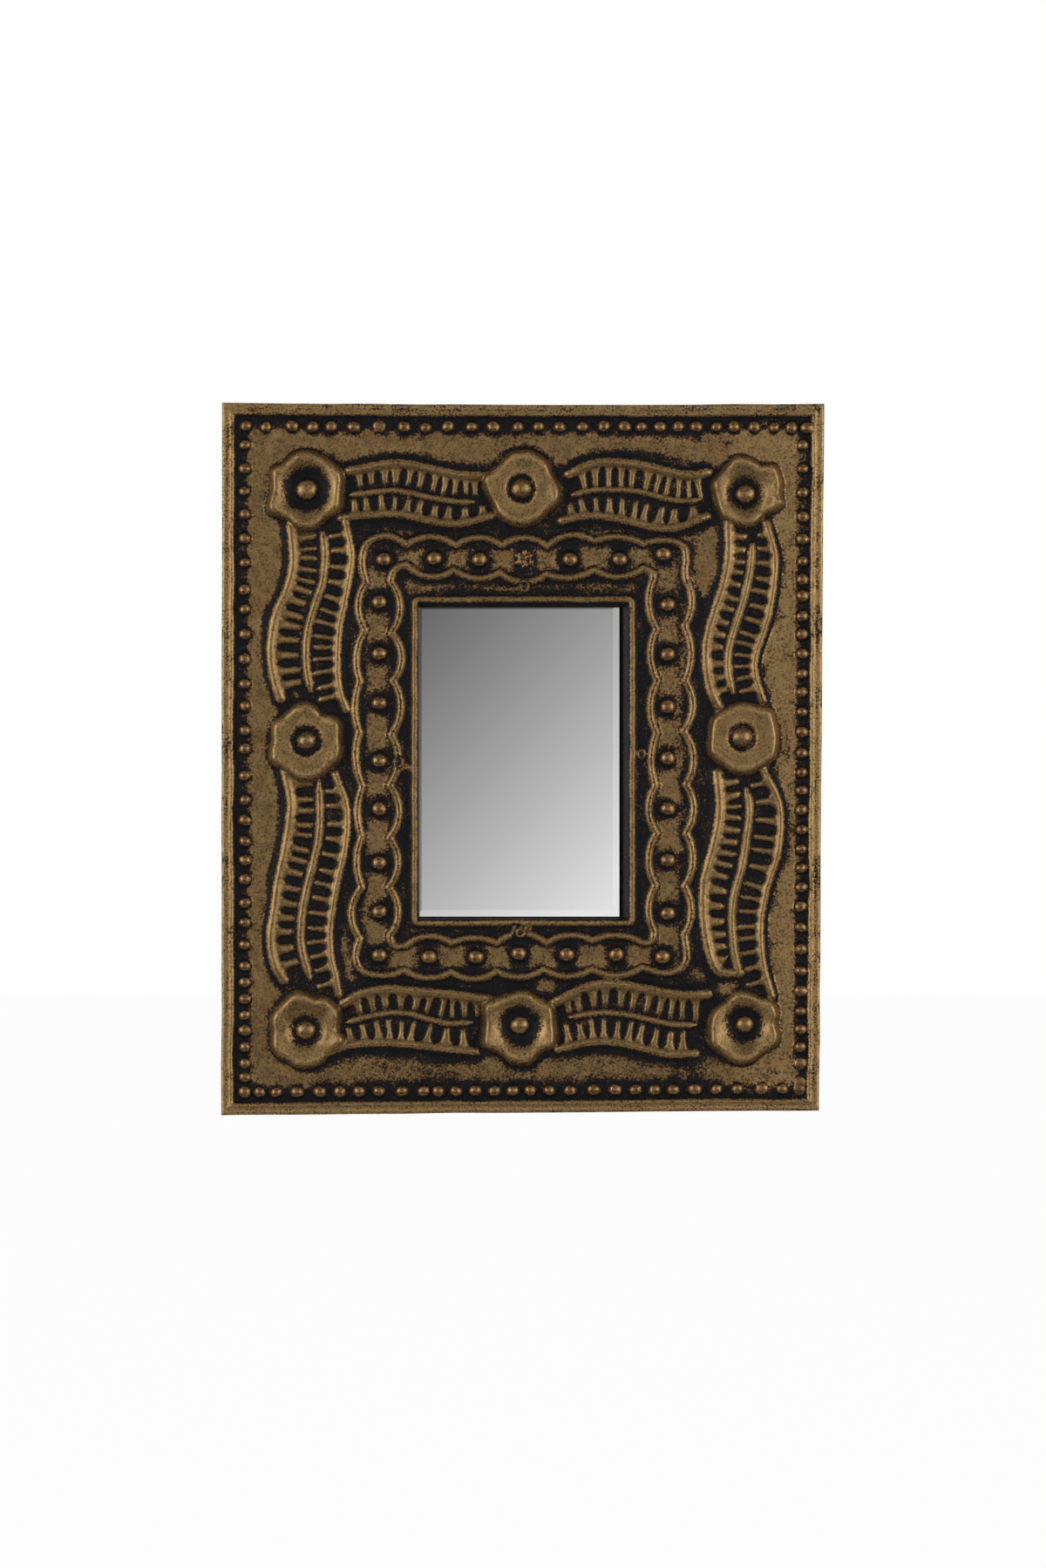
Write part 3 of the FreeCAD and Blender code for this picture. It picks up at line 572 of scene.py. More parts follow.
OUTER_BULGES = [  # beside each boss; several points where the ridge turns a corner
    [(416, 652), (416, 638), (419, 627), (427, 619), (436, 616), (446, 615), (457, 619)], (496, 616),
    (549, 617), (601, 617), (653, 614), (709, 616),
    [(748, 621), (759, 620), (771, 621), (781, 625), (786, 632), (787, 643), (786, 654)], (794, 691),
    (793, 751), (795, 810), (796, 871), (796, 928), (795, 988), (793, 1047),
    [(787, 1085), (788, 1096), (786, 1105), (779, 1112), (768, 1116), (757, 1116), (747, 1113)],
    (708, 1119), (650, 1120), (597, 1121), (545, 1123), (492, 1122),
    [(452, 1118), (440, 1119), (428, 1118), (417, 1114), (411, 1108), (408, 1100), (409, 1089)],
    (403, 1046), (409, 990), (410, 929), (408, 873), (407, 808), (409, 751), (411, 693)]
INNER_NOTCHES = [
    (466, 648), (521, 654), (573, 657), (627, 659), (682, 654), (738, 652), (749, 665), (753, 722),
    (754, 781), (753, 841), (752, 901), (753, 956), (752, 1016), (750, 1068), (738, 1082), (679, 1079),
    (627, 1082), (570, 1082), (518, 1082), (466, 1085), (447, 1074), (446, 1018), (447, 961), (447, 901),
    (449, 843), (451, 781), (449, 727), (448, 667)]
INNER_BULGES = [
    [(450, 659), (455, 652)], (495, 662), (549, 664), (600, 668), (653, 663), (709, 662),
    [(745, 655), (749, 659)], (744, 694), (746, 752), (746, 810), (747, 871), (744, 928), (744, 988),
    (744, 1046), [(749, 1077), (745, 1081)], (708, 1073), (650, 1073), (599, 1071), (546, 1076),
    (492, 1074), [(456, 1086), (450, 1082)], (457, 1046), (457, 989), (458, 928), (457, 873), (460, 808),
    (461, 753), (459, 694)]
CHAIN_HALF, CHAIN_RISE = 3.2, 2.6
CHAIN_BOSS, CHAIN_BOSS_RISE = 4.2, 3.6


def arc_through(a, b, c, count=9):
    """Points on the circle through three points, from the first by the second to the third."""
    ax, az, bx, bz, cx, cz = *a, *b, *c
    d = 2 * (ax * (bz - cz) + bx * (cz - az) + cx * (az - bz))
    if abs(d) < 1e-6:
        return np.linspace(a, c, count)
    aa, bb, cc = (p @ p for p in (a, b, c))
    centre_x = (aa * (bz - cz) + bb * (cz - az) + cc * (az - bz)) / d
    centre_z = (aa * (cx - bx) + bb * (ax - cx) + cc * (bx - ax)) / d
    centre = np.array([centre_x, centre_z])
    angle = [math.atan2(*(p - centre)[::-1]) for p in (a, b, c)]
    turn, to_b = (angle[2] - angle[0]) % (2 * math.pi), (angle[1] - angle[0]) % (2 * math.pi)
    turn = turn if to_b < turn else turn - 2 * math.pi
    swing = angle[0] + turn * np.linspace(0, 1, count)
    radius = np.hypot(*(a - centre))
    return centre + radius * np.stack([np.cos(swing), np.sin(swing)], -1)


def scallops(notches, bulges):
    """One closed line: from each notch by its bulge to the next notch."""
    points, line = on_sheet(notches), []
    for k, middle in enumerate(bulges):
        start, end = points[k - 1], points[k]
        if isinstance(middle, list):
            line.append(curve(np.vstack([start, on_sheet(middle), end]), 3))
        else:
            line.append(arc_through(start, on_sheet(middle), end))
    whole = np.vstack([part[:-1] for part in line])
    return np.vstack([whole, whole[:1]])


# The chain's ridges carry a crease with painted shade along their upright parts.
for notches, bulges in ((OUTER_NOTCHES, OUTER_BULGES), (INNER_NOTCHES, INNER_BULGES)):
    ridge(scallops(notches, bulges), CHAIN_HALF, CHAIN_RISE, crease_and_painted_shade=0.36, gold=(0.03, 0.62), warm=0.05)
CRUMPLED = 3
for k, centre in enumerate(chain):
    if k != CRUMPLED:
        boss(centre, CHAIN_BOSS, CHAIN_BOSS_RISE, 1.04, 0.5 * k, (0.25, 0.7))
print(len(chain), "links in the chain")

# %% [markdown]
# The lip is a ridge round the window. It stands clear of the opening on the outside with round corners,
# and on the inside the sheet turns down square to the glass.

# %% The lip round the window
LIP_WIDTH, LIP_RISE = 4.3, 2.0
over_x = np.maximum(WINDOW["left"] - X, X - WINDOW["right"])
over_z = np.maximum(WINDOW["bottom"] - Z, Z - WINDOW["top"])
from_window = np.where((over_x > 0) & (over_z > 0), np.hypot(over_x, over_z), np.maximum(over_x, over_z))
from_window = from_window + 0.2 * drift(X, Z, 12, 31)
outer = 1 - soft_step(LIP_WIDTH - 1.7, LIP_WIDTH, from_window)
rubbed_lip = outer * soft_step(-0.4, 1.9, from_window)
inner = soft_step(-0.9, 1.3, from_window)


def line_in_lip(middle, half):
    """A fine line all round the lip, this far from the window: a half cosine across it."""
    return rounded(np.abs(from_window - middle) / half)


lip = LIP_RISE * outer * (0.25 + 0.75 * inner) + 0.25 * line_in_lip(2.6, 0.8) - 0.2 * line_in_lip(1.5, 0.6)
lip = np.where(from_window < LIP_WIDTH, lip, 0)
stamp(np.s_[:, :], lip, wash_on(rubbed_lip, 0.2, 0.75), 0.5 * line_in_lip(2.4, 0.9))

# %% [markdown]
# Four nails were driven through the face, one beside the middle of each side of the window.
# The punched tin stands up round each in a rough ring, and two blobs of solder and a crumpled boss lie near.
# Beside the lowest nail the chain's inner ridge is broken, and a splinter of tin leans over to the lip.

# %% Burrs, blobs and dents
BURRS = [((601.5, 673), 5.0), ((457, 874), 4.6), ((736, 865), 4.2), ((597, 1070), 4.0)]
BLOBS = [((601.5, 642), 9.5, 2.4, 34), ((465, 881), 6.0, 1.9, 16), ((604, 1063), 4.5, 1.6, 12)]


def burr(centre, radius):
    """A ring of torn tin, rough along its crest, round a pit."""
    x, z = on_sheet(centre)
    radius = radius * MM_PER_PIXEL
    where = part_of_grid(x - 3 * radius, x + 3 * radius, z - 3 * radius, z + 3 * radius)
    r = np.hypot(X[where] - x, Z[where] - z)
    crest = rounded(np.abs(r - radius) / 1.05) * (1.5 + 0.45 * drift(X[where], Z[where], 1.3, 41))
    pit = 1 - soft_step(radius * 0.45, radius * 0.8, r)
    under = height[where]
    rise = np.maximum(under * soft_step(radius * 0.7, radius * 1.2, r), crest)
    height[where] = rise * (1 - pit) - 0.2 * pit
    wash[where] = np.where(r < radius * 1.7, wash_on(crest / 1.4) * (1 - pit), wash[where])


def blob(centre, radius, rise, count, seed):
    """A crust of small knobs heaped towards its middle."""
    x, z = on_sheet(centre)
    radius = radius * MM_PER_PIXEL
    spots = np.random.default_rng(seed)
    angle, far = spots.uniform(0, 2 * math.pi, count), np.sqrt(spots.uniform(0, 1, count)) * radius
    size, lift = spots.uniform(0.6, 1.15, count), spots.uniform(0.65, 1.0, count)
    for a, r, s, h in zip(angle, far, size, lift):
        place = (x + r * math.cos(a), z + r * math.sin(a))
        boss(place, s, rise * h * (1.1 - 0.5 * r / radius), 1.2, a, (0.2, 0.7))


BREAK_PLACE, BREAK_HALF = (592, 1073), 4.5 * MM_PER_PIXEL
SPLINTER = [(585, 1076), (588, 1069), (591, 1062)]
x, z = on_sheet(BREAK_PLACE)
where = part_of_grid(x - 4, x + 4, z - 3, z + 3)
from_break = np.abs(X[where] - x) + 0.3 * drift(X[where], Z[where], 1.0, 43)
whole = soft_step(BREAK_HALF - 0.5, BREAK_HALF + 0.9, from_break)
height[where] = height[where] * (0.2 + 0.8 * whole)
wash[where] = wash[where] * whole
ridge(on_sheet(SPLINTER), 1.3, 1.5, taper=0.6)
for k, (centre, radius, rise, count) in enumerate(BLOBS):
    blob(centre, radius, rise, count, 51 + k)
for centre, radius in BURRS:
    burr(centre, radius)

# %% [markdown]
# The wash stays where the rag can reach. Close to relief, between teeth and in the row of bosses the
# ground stays black, and where the ground lies open it turns bronze too. So the ground's wash is found from
# how much relief stands round each point: the relief's footprint, blurred over a few millimetres.
# Slopes that face up or down lose some wash, more on bosses: painted shade, where the light from the side boxes
# falls off.
# High places, crests, ridges that run across most of all, the rim, the chain and parts of the ground are
# lightened by a second field: polish and painted highlight.

# %% The wash on the ground
def blurred(field, width):
    """A soft average: the field is weighted by a bell curve of this width, first along x and then along z."""
    reach = int(math.ceil(2.5 * width / STEP))
    bell = np.exp(-0.5 * (np.arange(-reach, reach + 1) * STEP / width) ** 2)
    bell /= bell.sum()
    for axis in (0, 1):
        padded = np.pad(field, [(reach, reach) if a == axis else (0, 0) for a in (0, 1)], mode="edge")
        size = field.shape[axis]
        shifted = [padded[k : k + size] if axis == 0 else padded[:, k : k + size] for k in range(len(bell))]
        field = sum(w * part for w, part in zip(bell, shifted))
    return field


footprint = soft_step(0.12, 0.4, height)
crowding = blurred(footprint, 2.5)
drifts = ((0.11, 27, 66), (0.055, 3.1, 61), (0.05, 9.0, 62), (0.05, 1.4, 64))
ragged = sum(strength * drift(X, Z, cell, seed) for strength, cell, seed in drifts)
ragged = ragged - 0.3 * soft_step(85, 112, X) - 0.16 * soft_step(-95, -115, X)
ragged = ragged + 0.06 * soft_step(-105, -140, Z)
open_ground = 1 - soft_step(-0.03, 0.4, crowding + ragged)
between_lip_and_chain = np.maximum(np.abs(X - 0.9) / 66, np.abs(Z + 1.7) / 92.5) < 1
by_chain = (np.maximum(np.abs(X - 0.5) / 88.0, np.abs(Z) / 113.0) < 1) & ~between_lip_and_chain
reach_of_rag = np.where(between_lip_and_chain, 0.75 + 0.3 * drift(X, Z, 7, 65), np.where(by_chain, 0.95, 1.0))
RUBS = [  # streaks of wash across narrow ground: places, half width in millimetres, strength
    ([(476, 676), (530, 673), (585, 676), (640, 673), (700, 674), (722, 677)], 2.6, 0.85),
    ([(500, 1064), (560, 1062), (640, 1063), (700, 1061)], 1.9, 0.45),
    ([(408, 620), (440, 612), (500, 613), (570, 612)], 2.0, 0.4),
    ([(640, 612), (700, 613), (760, 609), (800, 620)], 2.8, 0.7),
    ([(391, 1058), (396, 1090), (402, 1122)], 3.6, 0.95),
    ([(800, 640), (790, 700), (778, 800), (780, 880)], 4.2, 0.8),
    ([(786, 930), (790, 1000), (786, 1090)], 3.2, 0.6),
    ([(412, 660), (404, 740), (410, 860)], 2.6, 0.5),
    ([(470, 700), (470, 800), (471, 1040)], 1.6, 0.3),
    ([(727, 700), (728, 800), (727, 1040)], 1.8, 0.35),
]
rubbed = np.zeros_like(X)
strokes = np.where(at_left_or_right, drift(X, Z / 9, 0.9, 74), drift(X / 9, Z, 0.9, 75))
strokes = strokes + 0.6 * drift(X, Z, 5, 76)
for places, half, strength in RUBS:
    where, far, _ = beside(curve(on_sheet(places)), half)
    brush = strokes[where] + 0.5 * drift(X[where], Z[where], 1.7, 69)
    rubbed[where] = np.maximum(rubbed[where], strength * rounded(far / half) * (0.8 + 0.35 * brush))
open_ground = open_ground * (1 - np.where(X > 85, 0.42, 0.1) * soft_step(-0.1, 0.8, strokes))
CHAIN_MIDDLE, CHAIN_HALF_WIDTH, CHAIN_HALF_HEIGHT = (0.4, -0.1), 72.6, 99.2
row_x = np.abs(X - CHAIN_MIDDLE[0]) - CHAIN_HALF_WIDTH
row_z = np.abs(Z - CHAIN_MIDDLE[1]) - CHAIN_HALF_HEIGHT
from_row = np.abs(np.maximum(row_x, row_z))
from_boss = np.min([np.hypot(X - x, Z - z) for x, z in chain], axis=0)
beside_row = from_row + 0.5 * drift(X, Z, 3.0, 79)
round_boss = from_boss + 0.5 * drift(X, Z, 1.6, 77) + 0.7 * drift(X, Z, 9, 78)
links = (1 - soft_step(2.6, 7.6, beside_row)) * soft_step(4.8, 8.8, round_boss)
links = links * (0.8 + 0.2 * soft_step(40, 0, Z) + 0.12 * drift(X, Z, 24, 80))
open_ground = open_ground * soft_step(0.16, 0.42, blurred(open_ground, 2.6))
open_ground = np.maximum(open_ground, links)
near_ridges = 1 - soft_step(0.2, 0.85, shade * (1 - 0.4 * soft_step(85, 112, X)) + ragged)
ground = np.maximum(open_ground * near_ridges, rubbed * (0.45 + 0.55 * near_ridges)) * reach_of_rag
ROW_INNER = 13
stained = 0.3 * soft_step(0.0, 1.0, strokes + 0.5 * drift(X, Z, 14, 81)) * (inset > ROW_INNER)
row_ground = 0.25 + 0.38 * (X > 120) * soft_step(-0.3, 0.6, drift(X, Z, 16, 67)) + 0.2 * (Z < -150)
ground = np.where(inset < ROW_INNER, ground * row_ground, np.maximum(ground, stained))
ground = ground * (1 - 0.16 * soft_step(-140, -160, Z))
is_ground = 1 - footprint
wash = np.clip(wash * footprint + blurred(ground, 0.7) * is_ground, 0, 1)
copper = copper * footprint
height = height + 0.14 * drift(X, Z, 13, 71) * is_ground + 0.05 * drift(X, Z, 4, 72)
height = blurred(height, 0.38)
slope_x = np.gradient(height, axis=0) / np.gradient(X, axis=0)
slope_z = np.gradient(height, axis=1) / np.gradient(Z, axis=1)
lying = blurred(slope_z**2, 1.2) / (blurred(slope_x**2 + slope_z**2, 1.2) + 0.001)
# Painted shade: slopes facing down, and a little less those facing up, lose wash, more on the bosses.
leaning = slope_z + 0.08 * drift(X, Z, 2.3, 73)
painted_shade_on_slopes = 0.9 * soft_step(0.35, 1.1, leaning) + 0.7 * soft_step(0.4, 1.2, -leaning)
wash = blurred(wash, 0.3) * (1 - painted_shade_on_slopes * (0.2 + 0.3 * lying + 0.5 * soft_step(0.3, 0.6, copper)))
# Polish and painted highlight: lighter on high places and crests, most where ridges run across, and lighter on
# the rim, by the chain and on parts of the ground.
crests = blurred(height, 0.7) - blurred(height, 1.7)
polish_and_painted_highlight = 0.4 * soft_step(0.6, 4.5, height) + (0.25 + 0.65 * lying) * soft_step(0.03, 0.34, crests)
polish_and_painted_highlight = polish_and_painted_highlight + 0.5 * footprint * by_chain + (0.66 + 0.4 * (Z < -170) + 0.25 * (X > 143)) * fall
polish_and_painted_highlight = polish_and_painted_highlight + is_ground * (0.25 + 0.1 * by_chain + 0.5 * soft_step(95, 115, X) * (X < 137))
polish_and_painted_highlight = np.clip(polish_and_painted_highlight * (1 - 0.9 * copper), 0, 1)
print("bronze on %.0f %% of the sheet" % (100 * wash.mean()))

# %% [markdown]
# The heights become meshes. The whole sheet has too many points for one piece, so it is cut into four
# panels along grid lines. Each panel is closed: a front, walls that go back from its edges, and a flat back.
# The panels share the slopes of the whole sheet as their normals, so no joint shows between them.

# %% Normals of the whole sheet
front_normals = np.stack([-slope_x, -np.ones_like(height), -slope_z], -1)
front_normals /= np.linalg.norm(front_normals, axis=-1, keepdims=True)
front_points = np.stack([X, FACE_LEVEL - height, Z], -1) * MM
BACK_LEVEL, TOUCHING, FOLDED_WASH = -14.02, 0.01, 0.14
RETURN = [  # how far the fold is drawn in from the outline, and its level, from the front round the hem
    (0.25, FACE_LEVEL + 0.35), (0.25, -9), (0.05, -3.9), (0.35, -3.4),
    (9.2, -3.4), (9.2, -3.95), (0.9, -3.95), (0.9, BACK_LEVEL)]
FLANGE = [(SIGHT, 0, -11.25), (SIGHT, 0.55, -11.25), (WINDOW, 0.6, BACK_LEVEL)]


def shrunk(points, by, level):
    """The sheet's outline drawn in by so many millimetres, and set to a level."""
    x = points[:, 0] * (1 - by / HALF_WIDTH)
    z = points[:, 2] * (1 - by / HALF_HEIGHT)
    return np.stack([x, np.full_like(x, level * MM), z], -1)


def onto(points, edges, by, level):
    """Points on the window's edges moved to another rectangle, grown by so much, and set to a level."""

    def moved(values, low, high):
        old = (WINDOW[low] * MM, WINDOW[high] * MM)
        new = ((edges[low] - by) * MM, (edges[high] + by) * MM)
        return np.interp(values, old, new)

    x, z = moved(points[:, 0], "left", "right"), moved(points[:, 2], "bottom", "top")
    return np.stack([x, np.full_like(x, level * MM), z], -1)


def outer_returns(points):
    """The sheet's edge folded back over the planks, with a hem behind them: a profile round the outline."""
    return [shrunk(points, by, level) for by, level in RETURN]


def window_flange(points):
    """The window's edge folded back to the glass, slanting more on one side than on the other."""
    return [onto(points, edges, by, level) for edges, by, level in FLANGE]


def straight_back(points):
    """Where two panels meet, the wall goes straight back."""
    return [np.stack([points[:, 0], np.full(len(points), BACK_LEVEL * MM), points[:, 2]], -1)]


# %% Cut a closed panel out of the grid
def panel(name, cells, window_edge, sheet_edge):
    """Front cells, a wall from every open edge through the layers of its fold, and a flat back."""
    nx, nz = X.shape
    i, j = np.nonzero(cells)
    corner_cells = ((i, j), (i + 1, j), (i + 1, j + 1), (i, j + 1))
    quads = np.stack([a * nz + b for a, b in corner_cells], -1)
    padded = np.pad(cells, 1)
    edges = []
    for (di, dj), (a, b) in {(0, -1): (0, 1), (1, 0): (1, 2), (0, 1): (2, 3), (-1, 0): (3, 0)}.items():
        open_side = ~padded[i + 1 + di, j + 1 + dj]
        edges.append(quads[open_side][:, (a, b)])
    used, compact = np.unique(quads, return_inverse=True)
    quads = compact.reshape(quads.shape)
    lookup = np.full(nx * nz, -1)
    lookup[used] = np.arange(len(used))
    edges = lookup[np.vstack(edges)]
    flat_u, flat_v = U.reshape(-1)[used], V.reshape(-1)[used]
    at_side = np.abs(np.abs(flat_u) - HALF_WIDTH) < TOUCHING
    at_end = np.abs(np.abs(flat_v) - HALF_HEIGHT) < TOUCHING
    inside_x = (flat_u > WINDOW["left"] - TOUCHING) & (flat_u < WINDOW["right"] + TOUCHING)
    inside_z = (flat_v > WINDOW["bottom"] - TOUCHING) & (flat_v < WINDOW["top"] + TOUCHING)
    folds_back = ((at_side | at_end) & sheet_edge)[edges].all(1)
    folds_in = (inside_x & inside_z & window_edge)[edges].all(1)
    points, faces, total, last = [front_points.reshape(-1, 3)[used]], [quads], len(used), []
    for chosen, layers in (
        (folds_back, outer_returns), (folds_in, window_flange), (~(folds_back | folds_in), straight_back),
    ):
        above = edges[chosen]
        if not len(above):
            continue
        ring, local = np.unique(above, return_inverse=True)
        for layer in layers(points[0][ring]):
            below = local.reshape(above.shape) + total
            faces.append(np.stack([above[:, 1], above[:, 0], below[:, 0], below[:, 1]], -1))
            points.append(layer)
            total += len(ring)
            above = below
        last.append(above)
    mesh = bpy.data.meshes.new(name)
    mesh.from_pydata(np.vstack(points).tolist(), [], np.vstack(faces).tolist())
    return finish_panel(name, mesh, np.vstack(last), used, len(quads))


def read_numbers(items, label, kind, width=1):
    """One number, or several, from every item of a mesh, as a whole array."""
    numbers = np.empty(len(items) * width, kind)
    items.foreach_get(label, numbers)
    return numbers


def in_scene(name, data):
    """A new object with this mesh, lamp or camera, put into the scene."""
    obj = bpy.data.objects.new(name, data)
    bpy.context.scene.collection.objects.link(obj)
    return obj


def finish_panel(name, mesh, rim_edges, used, front_count):
    """Closes the back between the last layers, then sets the shared normals and the wash of each point."""
    bm = bmesh.new()
    bm.from_mesh(mesh)
    bm.verts.ensure_lookup_table()
    around = [bm.edges.get((bm.verts[a], bm.verts[b])) for a, b in rim_edges.tolist()]
    bmesh.ops.triangle_fill(bm, edges=[e for e in around if e is not None], normal=(0, 1, 0))
    bm.to_mesh(mesh)
    bm.free()
    loops = read_numbers(mesh.loops, "vertex_index", int)
    starts = read_numbers(mesh.polygons, "loop_start", int)
    counts = read_numbers(mesh.polygons, "loop_total", int)
    flat = read_numbers(mesh.polygons, "normal", float, 3)
    loop_normals = np.repeat(flat.reshape(-1, 3), counts, axis=0)
    front_loops = int(starts[front_count - 1] + counts[front_count - 1])
    loop_normals[:front_loops] = front_normals.reshape(-1, 3)[used][loops[:front_loops]]
    mesh.polygons.foreach_set("use_smooth", np.ones(len(mesh.polygons), bool))
    mesh.normals_split_custom_set(loop_normals.tolist())
    for label, field in (("wash", wash), ("copper", copper), ("polish_and_painted_highlight", polish_and_painted_highlight)):
        values = np.zeros(len(mesh.vertices), np.float32)
        values[: len(used)] = field.reshape(-1)[used]
        values[len(used) :] = FOLDED_WASH
        mesh.attributes.new(label, "FLOAT", "POINT").data.foreach_set("value", values)
    obj = in_scene(name, mesh)
    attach(obj, "frame")
    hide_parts("face_sheet")
    print(name, len(mesh.polygons), "faces")
    return obj


# %% The four panels of the sheet
cell_x, cell_z = np.arange(len(xs) - 1)[:, None], np.arange(len(zs) - 1)[None, :]
last_x, last_z = len(xs) - 2, len(zs) - 2
from_edge = np.minimum(np.minimum(cell_x, last_x - cell_x), np.minimum(cell_z, last_z - cell_z))
in_window = (cell_x >= x_stops[0]) & (cell_x < x_stops[1]) & (cell_z >= z_stops[0]) & (cell_z < z_stops[1])
CHAIN_CUT_X, CHAIN_CUT_Z = (-89, 90), (-113.5, 113.5)
chain_x, chain_z = np.searchsorted(xs, CHAIN_CUT_X), np.searchsorted(zs, CHAIN_CUT_Z)
in_chain = (cell_x >= chain_x[0]) & (cell_x < chain_x[1]) & (cell_z >= chain_z[0]) & (cell_z < chain_z[1])
BORDER_CELLS = 31
border = from_edge < BORDER_CELLS
upper = (cell_z >= len(zs) // 2) & (cell_x >= 0)
panels = [
    panel("tin_border", border, False, True),
    panel("tin_chain_and_lip", in_chain & ~in_window, True, False),
    panel("tin_field_upper", ~border & ~in_chain & upper, False, False),
    panel("tin_field_lower", ~border & ~in_chain & ~upper, False, False),
]

# %% [markdown]
# The material. Under everything lies the black patina. The wash is a mask from the mesh, broken up by
# noise so that its edge is ragged and its middle stays grainy. A few short helpers write the nodes that
# every material here needs: sums, ramps, noise, mixed colours and bumps.

# %% Helpers for node trees
def add(tree, kind, inputs=None, **settings):
    """One node with its settings; inputs are plain values or sockets of other nodes."""
    node = tree.nodes.new(kind)
    for key, value in settings.items():
        setattr(node, key, value)
    for key, value in (inputs or {}).items():
        socket = node.inputs[key]
        if isinstance(value, bpy.types.NodeSocket):
            tree.links.new(value, socket)
        else:
            socket.default_value = value
    return node


def math_node(tree, operation, a, b=0.0, c=0.0, clamp=False):
    return add(tree, "ShaderNodeMath", {0: a, 1: b, 2: c}, operation=operation, use_clamp=clamp).outputs[0]


def times(tree, a, b):
    return math_node(tree, "MULTIPLY", a, b)


def times_plus(tree, a, b, c, clamp=False):
    """a times b, plus c."""
    return math_node(tree, "MULTIPLY_ADD", a, b, c, clamp)


def away_from(tree, a, middle):
    """How far a is from the middle, on either side."""
    return math_node(tree, "ABSOLUTE", math_node(tree, "SUBTRACT", a, middle))


def ramp(tree, value, low, high, **settings):
    """0 at low, 1 at high and straight between; low may be the larger."""
    inputs = {"Value": value, "From Min": low, "From Max": high}
    return add(tree, "ShaderNodeMapRange", inputs, **settings).outputs["Result"]


def own_places(tree, label="Object"):
    """The piece's own coordinates, or its surface's direction with the label Normal."""
    return add(tree, "ShaderNodeTexCoord").outputs[label]


def own_axes(tree, label="Object"):
    return add(tree, "ShaderNodeSeparateXYZ", {0: own_places(tree, label)}).outputs


def noise(tree, place, scale, detail, roughness=0.5):
    inputs = {"Vector": place, "Scale": scale, "Detail": detail, "Roughness": roughness}
    return add(tree, "ShaderNodeTexNoise", inputs).outputs["Fac"]


def srgb(red, green, blue):
    """A colour as seen on a screen, from 0 to 255, as the linear numbers that Blender mixes."""
    c = np.array([red, green, blue]) / 255
    linear = np.where(c <= 0.04045, c / 12.92, ((c + 0.055) / 1.055) ** 2.4)
    return (*linear.tolist(), 1.0)


def mixed(tree, factor, low, high):
    return add(tree, "ShaderNodeMix", {"Factor": factor, "A": low, "B": high}, data_type="RGBA").outputs[2]


def two_colours(tree, factor, low, high):
    return mixed(tree, factor, srgb(*low), srgb(*high))


def simple_material(name):
    material = bpy.data.materials.new(name)
    material.use_nodes = True
    return material, material.node_tree, material.node_tree.nodes["Principled BSDF"]


def connect(tree, shader, **wires):
    """Feeds sockets of the shader; an underscore in a name stands for a space."""
    for name, value in wires.items():
        tree.links.new(value, shader.inputs[name.replace("_", " ")])


def bumped(tree, shader, height, strength, distance):
    bump = add(tree, "ShaderNodeBump", {"Height": height, "Strength": strength, "Distance": distance})
    connect(tree, shader, Normal=bump.outputs["Normal"])


def new_group(name, inputs, outputs):
    """An empty shader group with named number or vector sockets."""
    group = bpy.data.node_groups.new(name, "ShaderNodeTree")
    kinds = {"number": "NodeSocketFloat", "vector": "NodeSocketVector"}
    for label, kind, default in inputs:
        socket = group.interface.new_socket(label, in_out="INPUT", socket_type=kinds[kind])
        if default is not None:
            socket.default_value = default
    for label in outputs:
        group.interface.new_socket(label, in_out="OUTPUT", socket_type=kinds["number"])
    return group, group.nodes.new("NodeGroupInput").outputs, group.nodes.new("NodeGroupOutput").inputs


# %% A group for grain
COARSE_SHARE = 0.14
grain, grain_in, grain_out = new_group(
    "grain", [("Size", "number", 900.0), ("Contrast", "number", 1.0)], ["Grain", "Coarse"])
place = own_places(grain)
coarse_size = times(grain, grain_in["Size"], COARSE_SHARE)
for label, size, detail in (("Grain", grain_in["Size"], 3.0), ("Coarse", coarse_size, 5.0)):
    centred = math_node(grain, "SUBTRACT", noise(grain, place, size, detail, 0.7), 0.5)
    grain.links.new(times(grain, centred, grain_in["Contrast"]), grain_out[label])


def speckled(tree, size, contrast):
    """The grain group placed in a material: its fine and its coarse noise, both round zero."""
    speck = add(tree, "ShaderNodeGroup", {"Size": size, "Contrast": contrast}, node_tree=grain)
    return speck.outputs["Grain"], speck.outputs["Coarse"]


# %% The patinated tin
tin, tree, shader = simple_material("patinated_tin")
mask, warmth, polished_and_highlit = (
    add(tree, "ShaderNodeAttribute", attribute_name=name).outputs["Fac"]
    for name in ("wash", "copper", "polish_and_painted_highlight"))
fine, coarse = speckled(tree, 1000.0, 2.9)
ragged_mask = times_plus(tree, fine, 0.72, times_plus(tree, coarse, 0.16, times(tree, mask, 0.9)))
covered = ramp(tree, ragged_mask, 0.16, 0.78, interpolation_type="SMOOTHSTEP")
bronze = two_colours(tree, times_plus(tree, coarse, 1.2, 0.5, clamp=True), (110, 88, 57), (154, 126, 84))
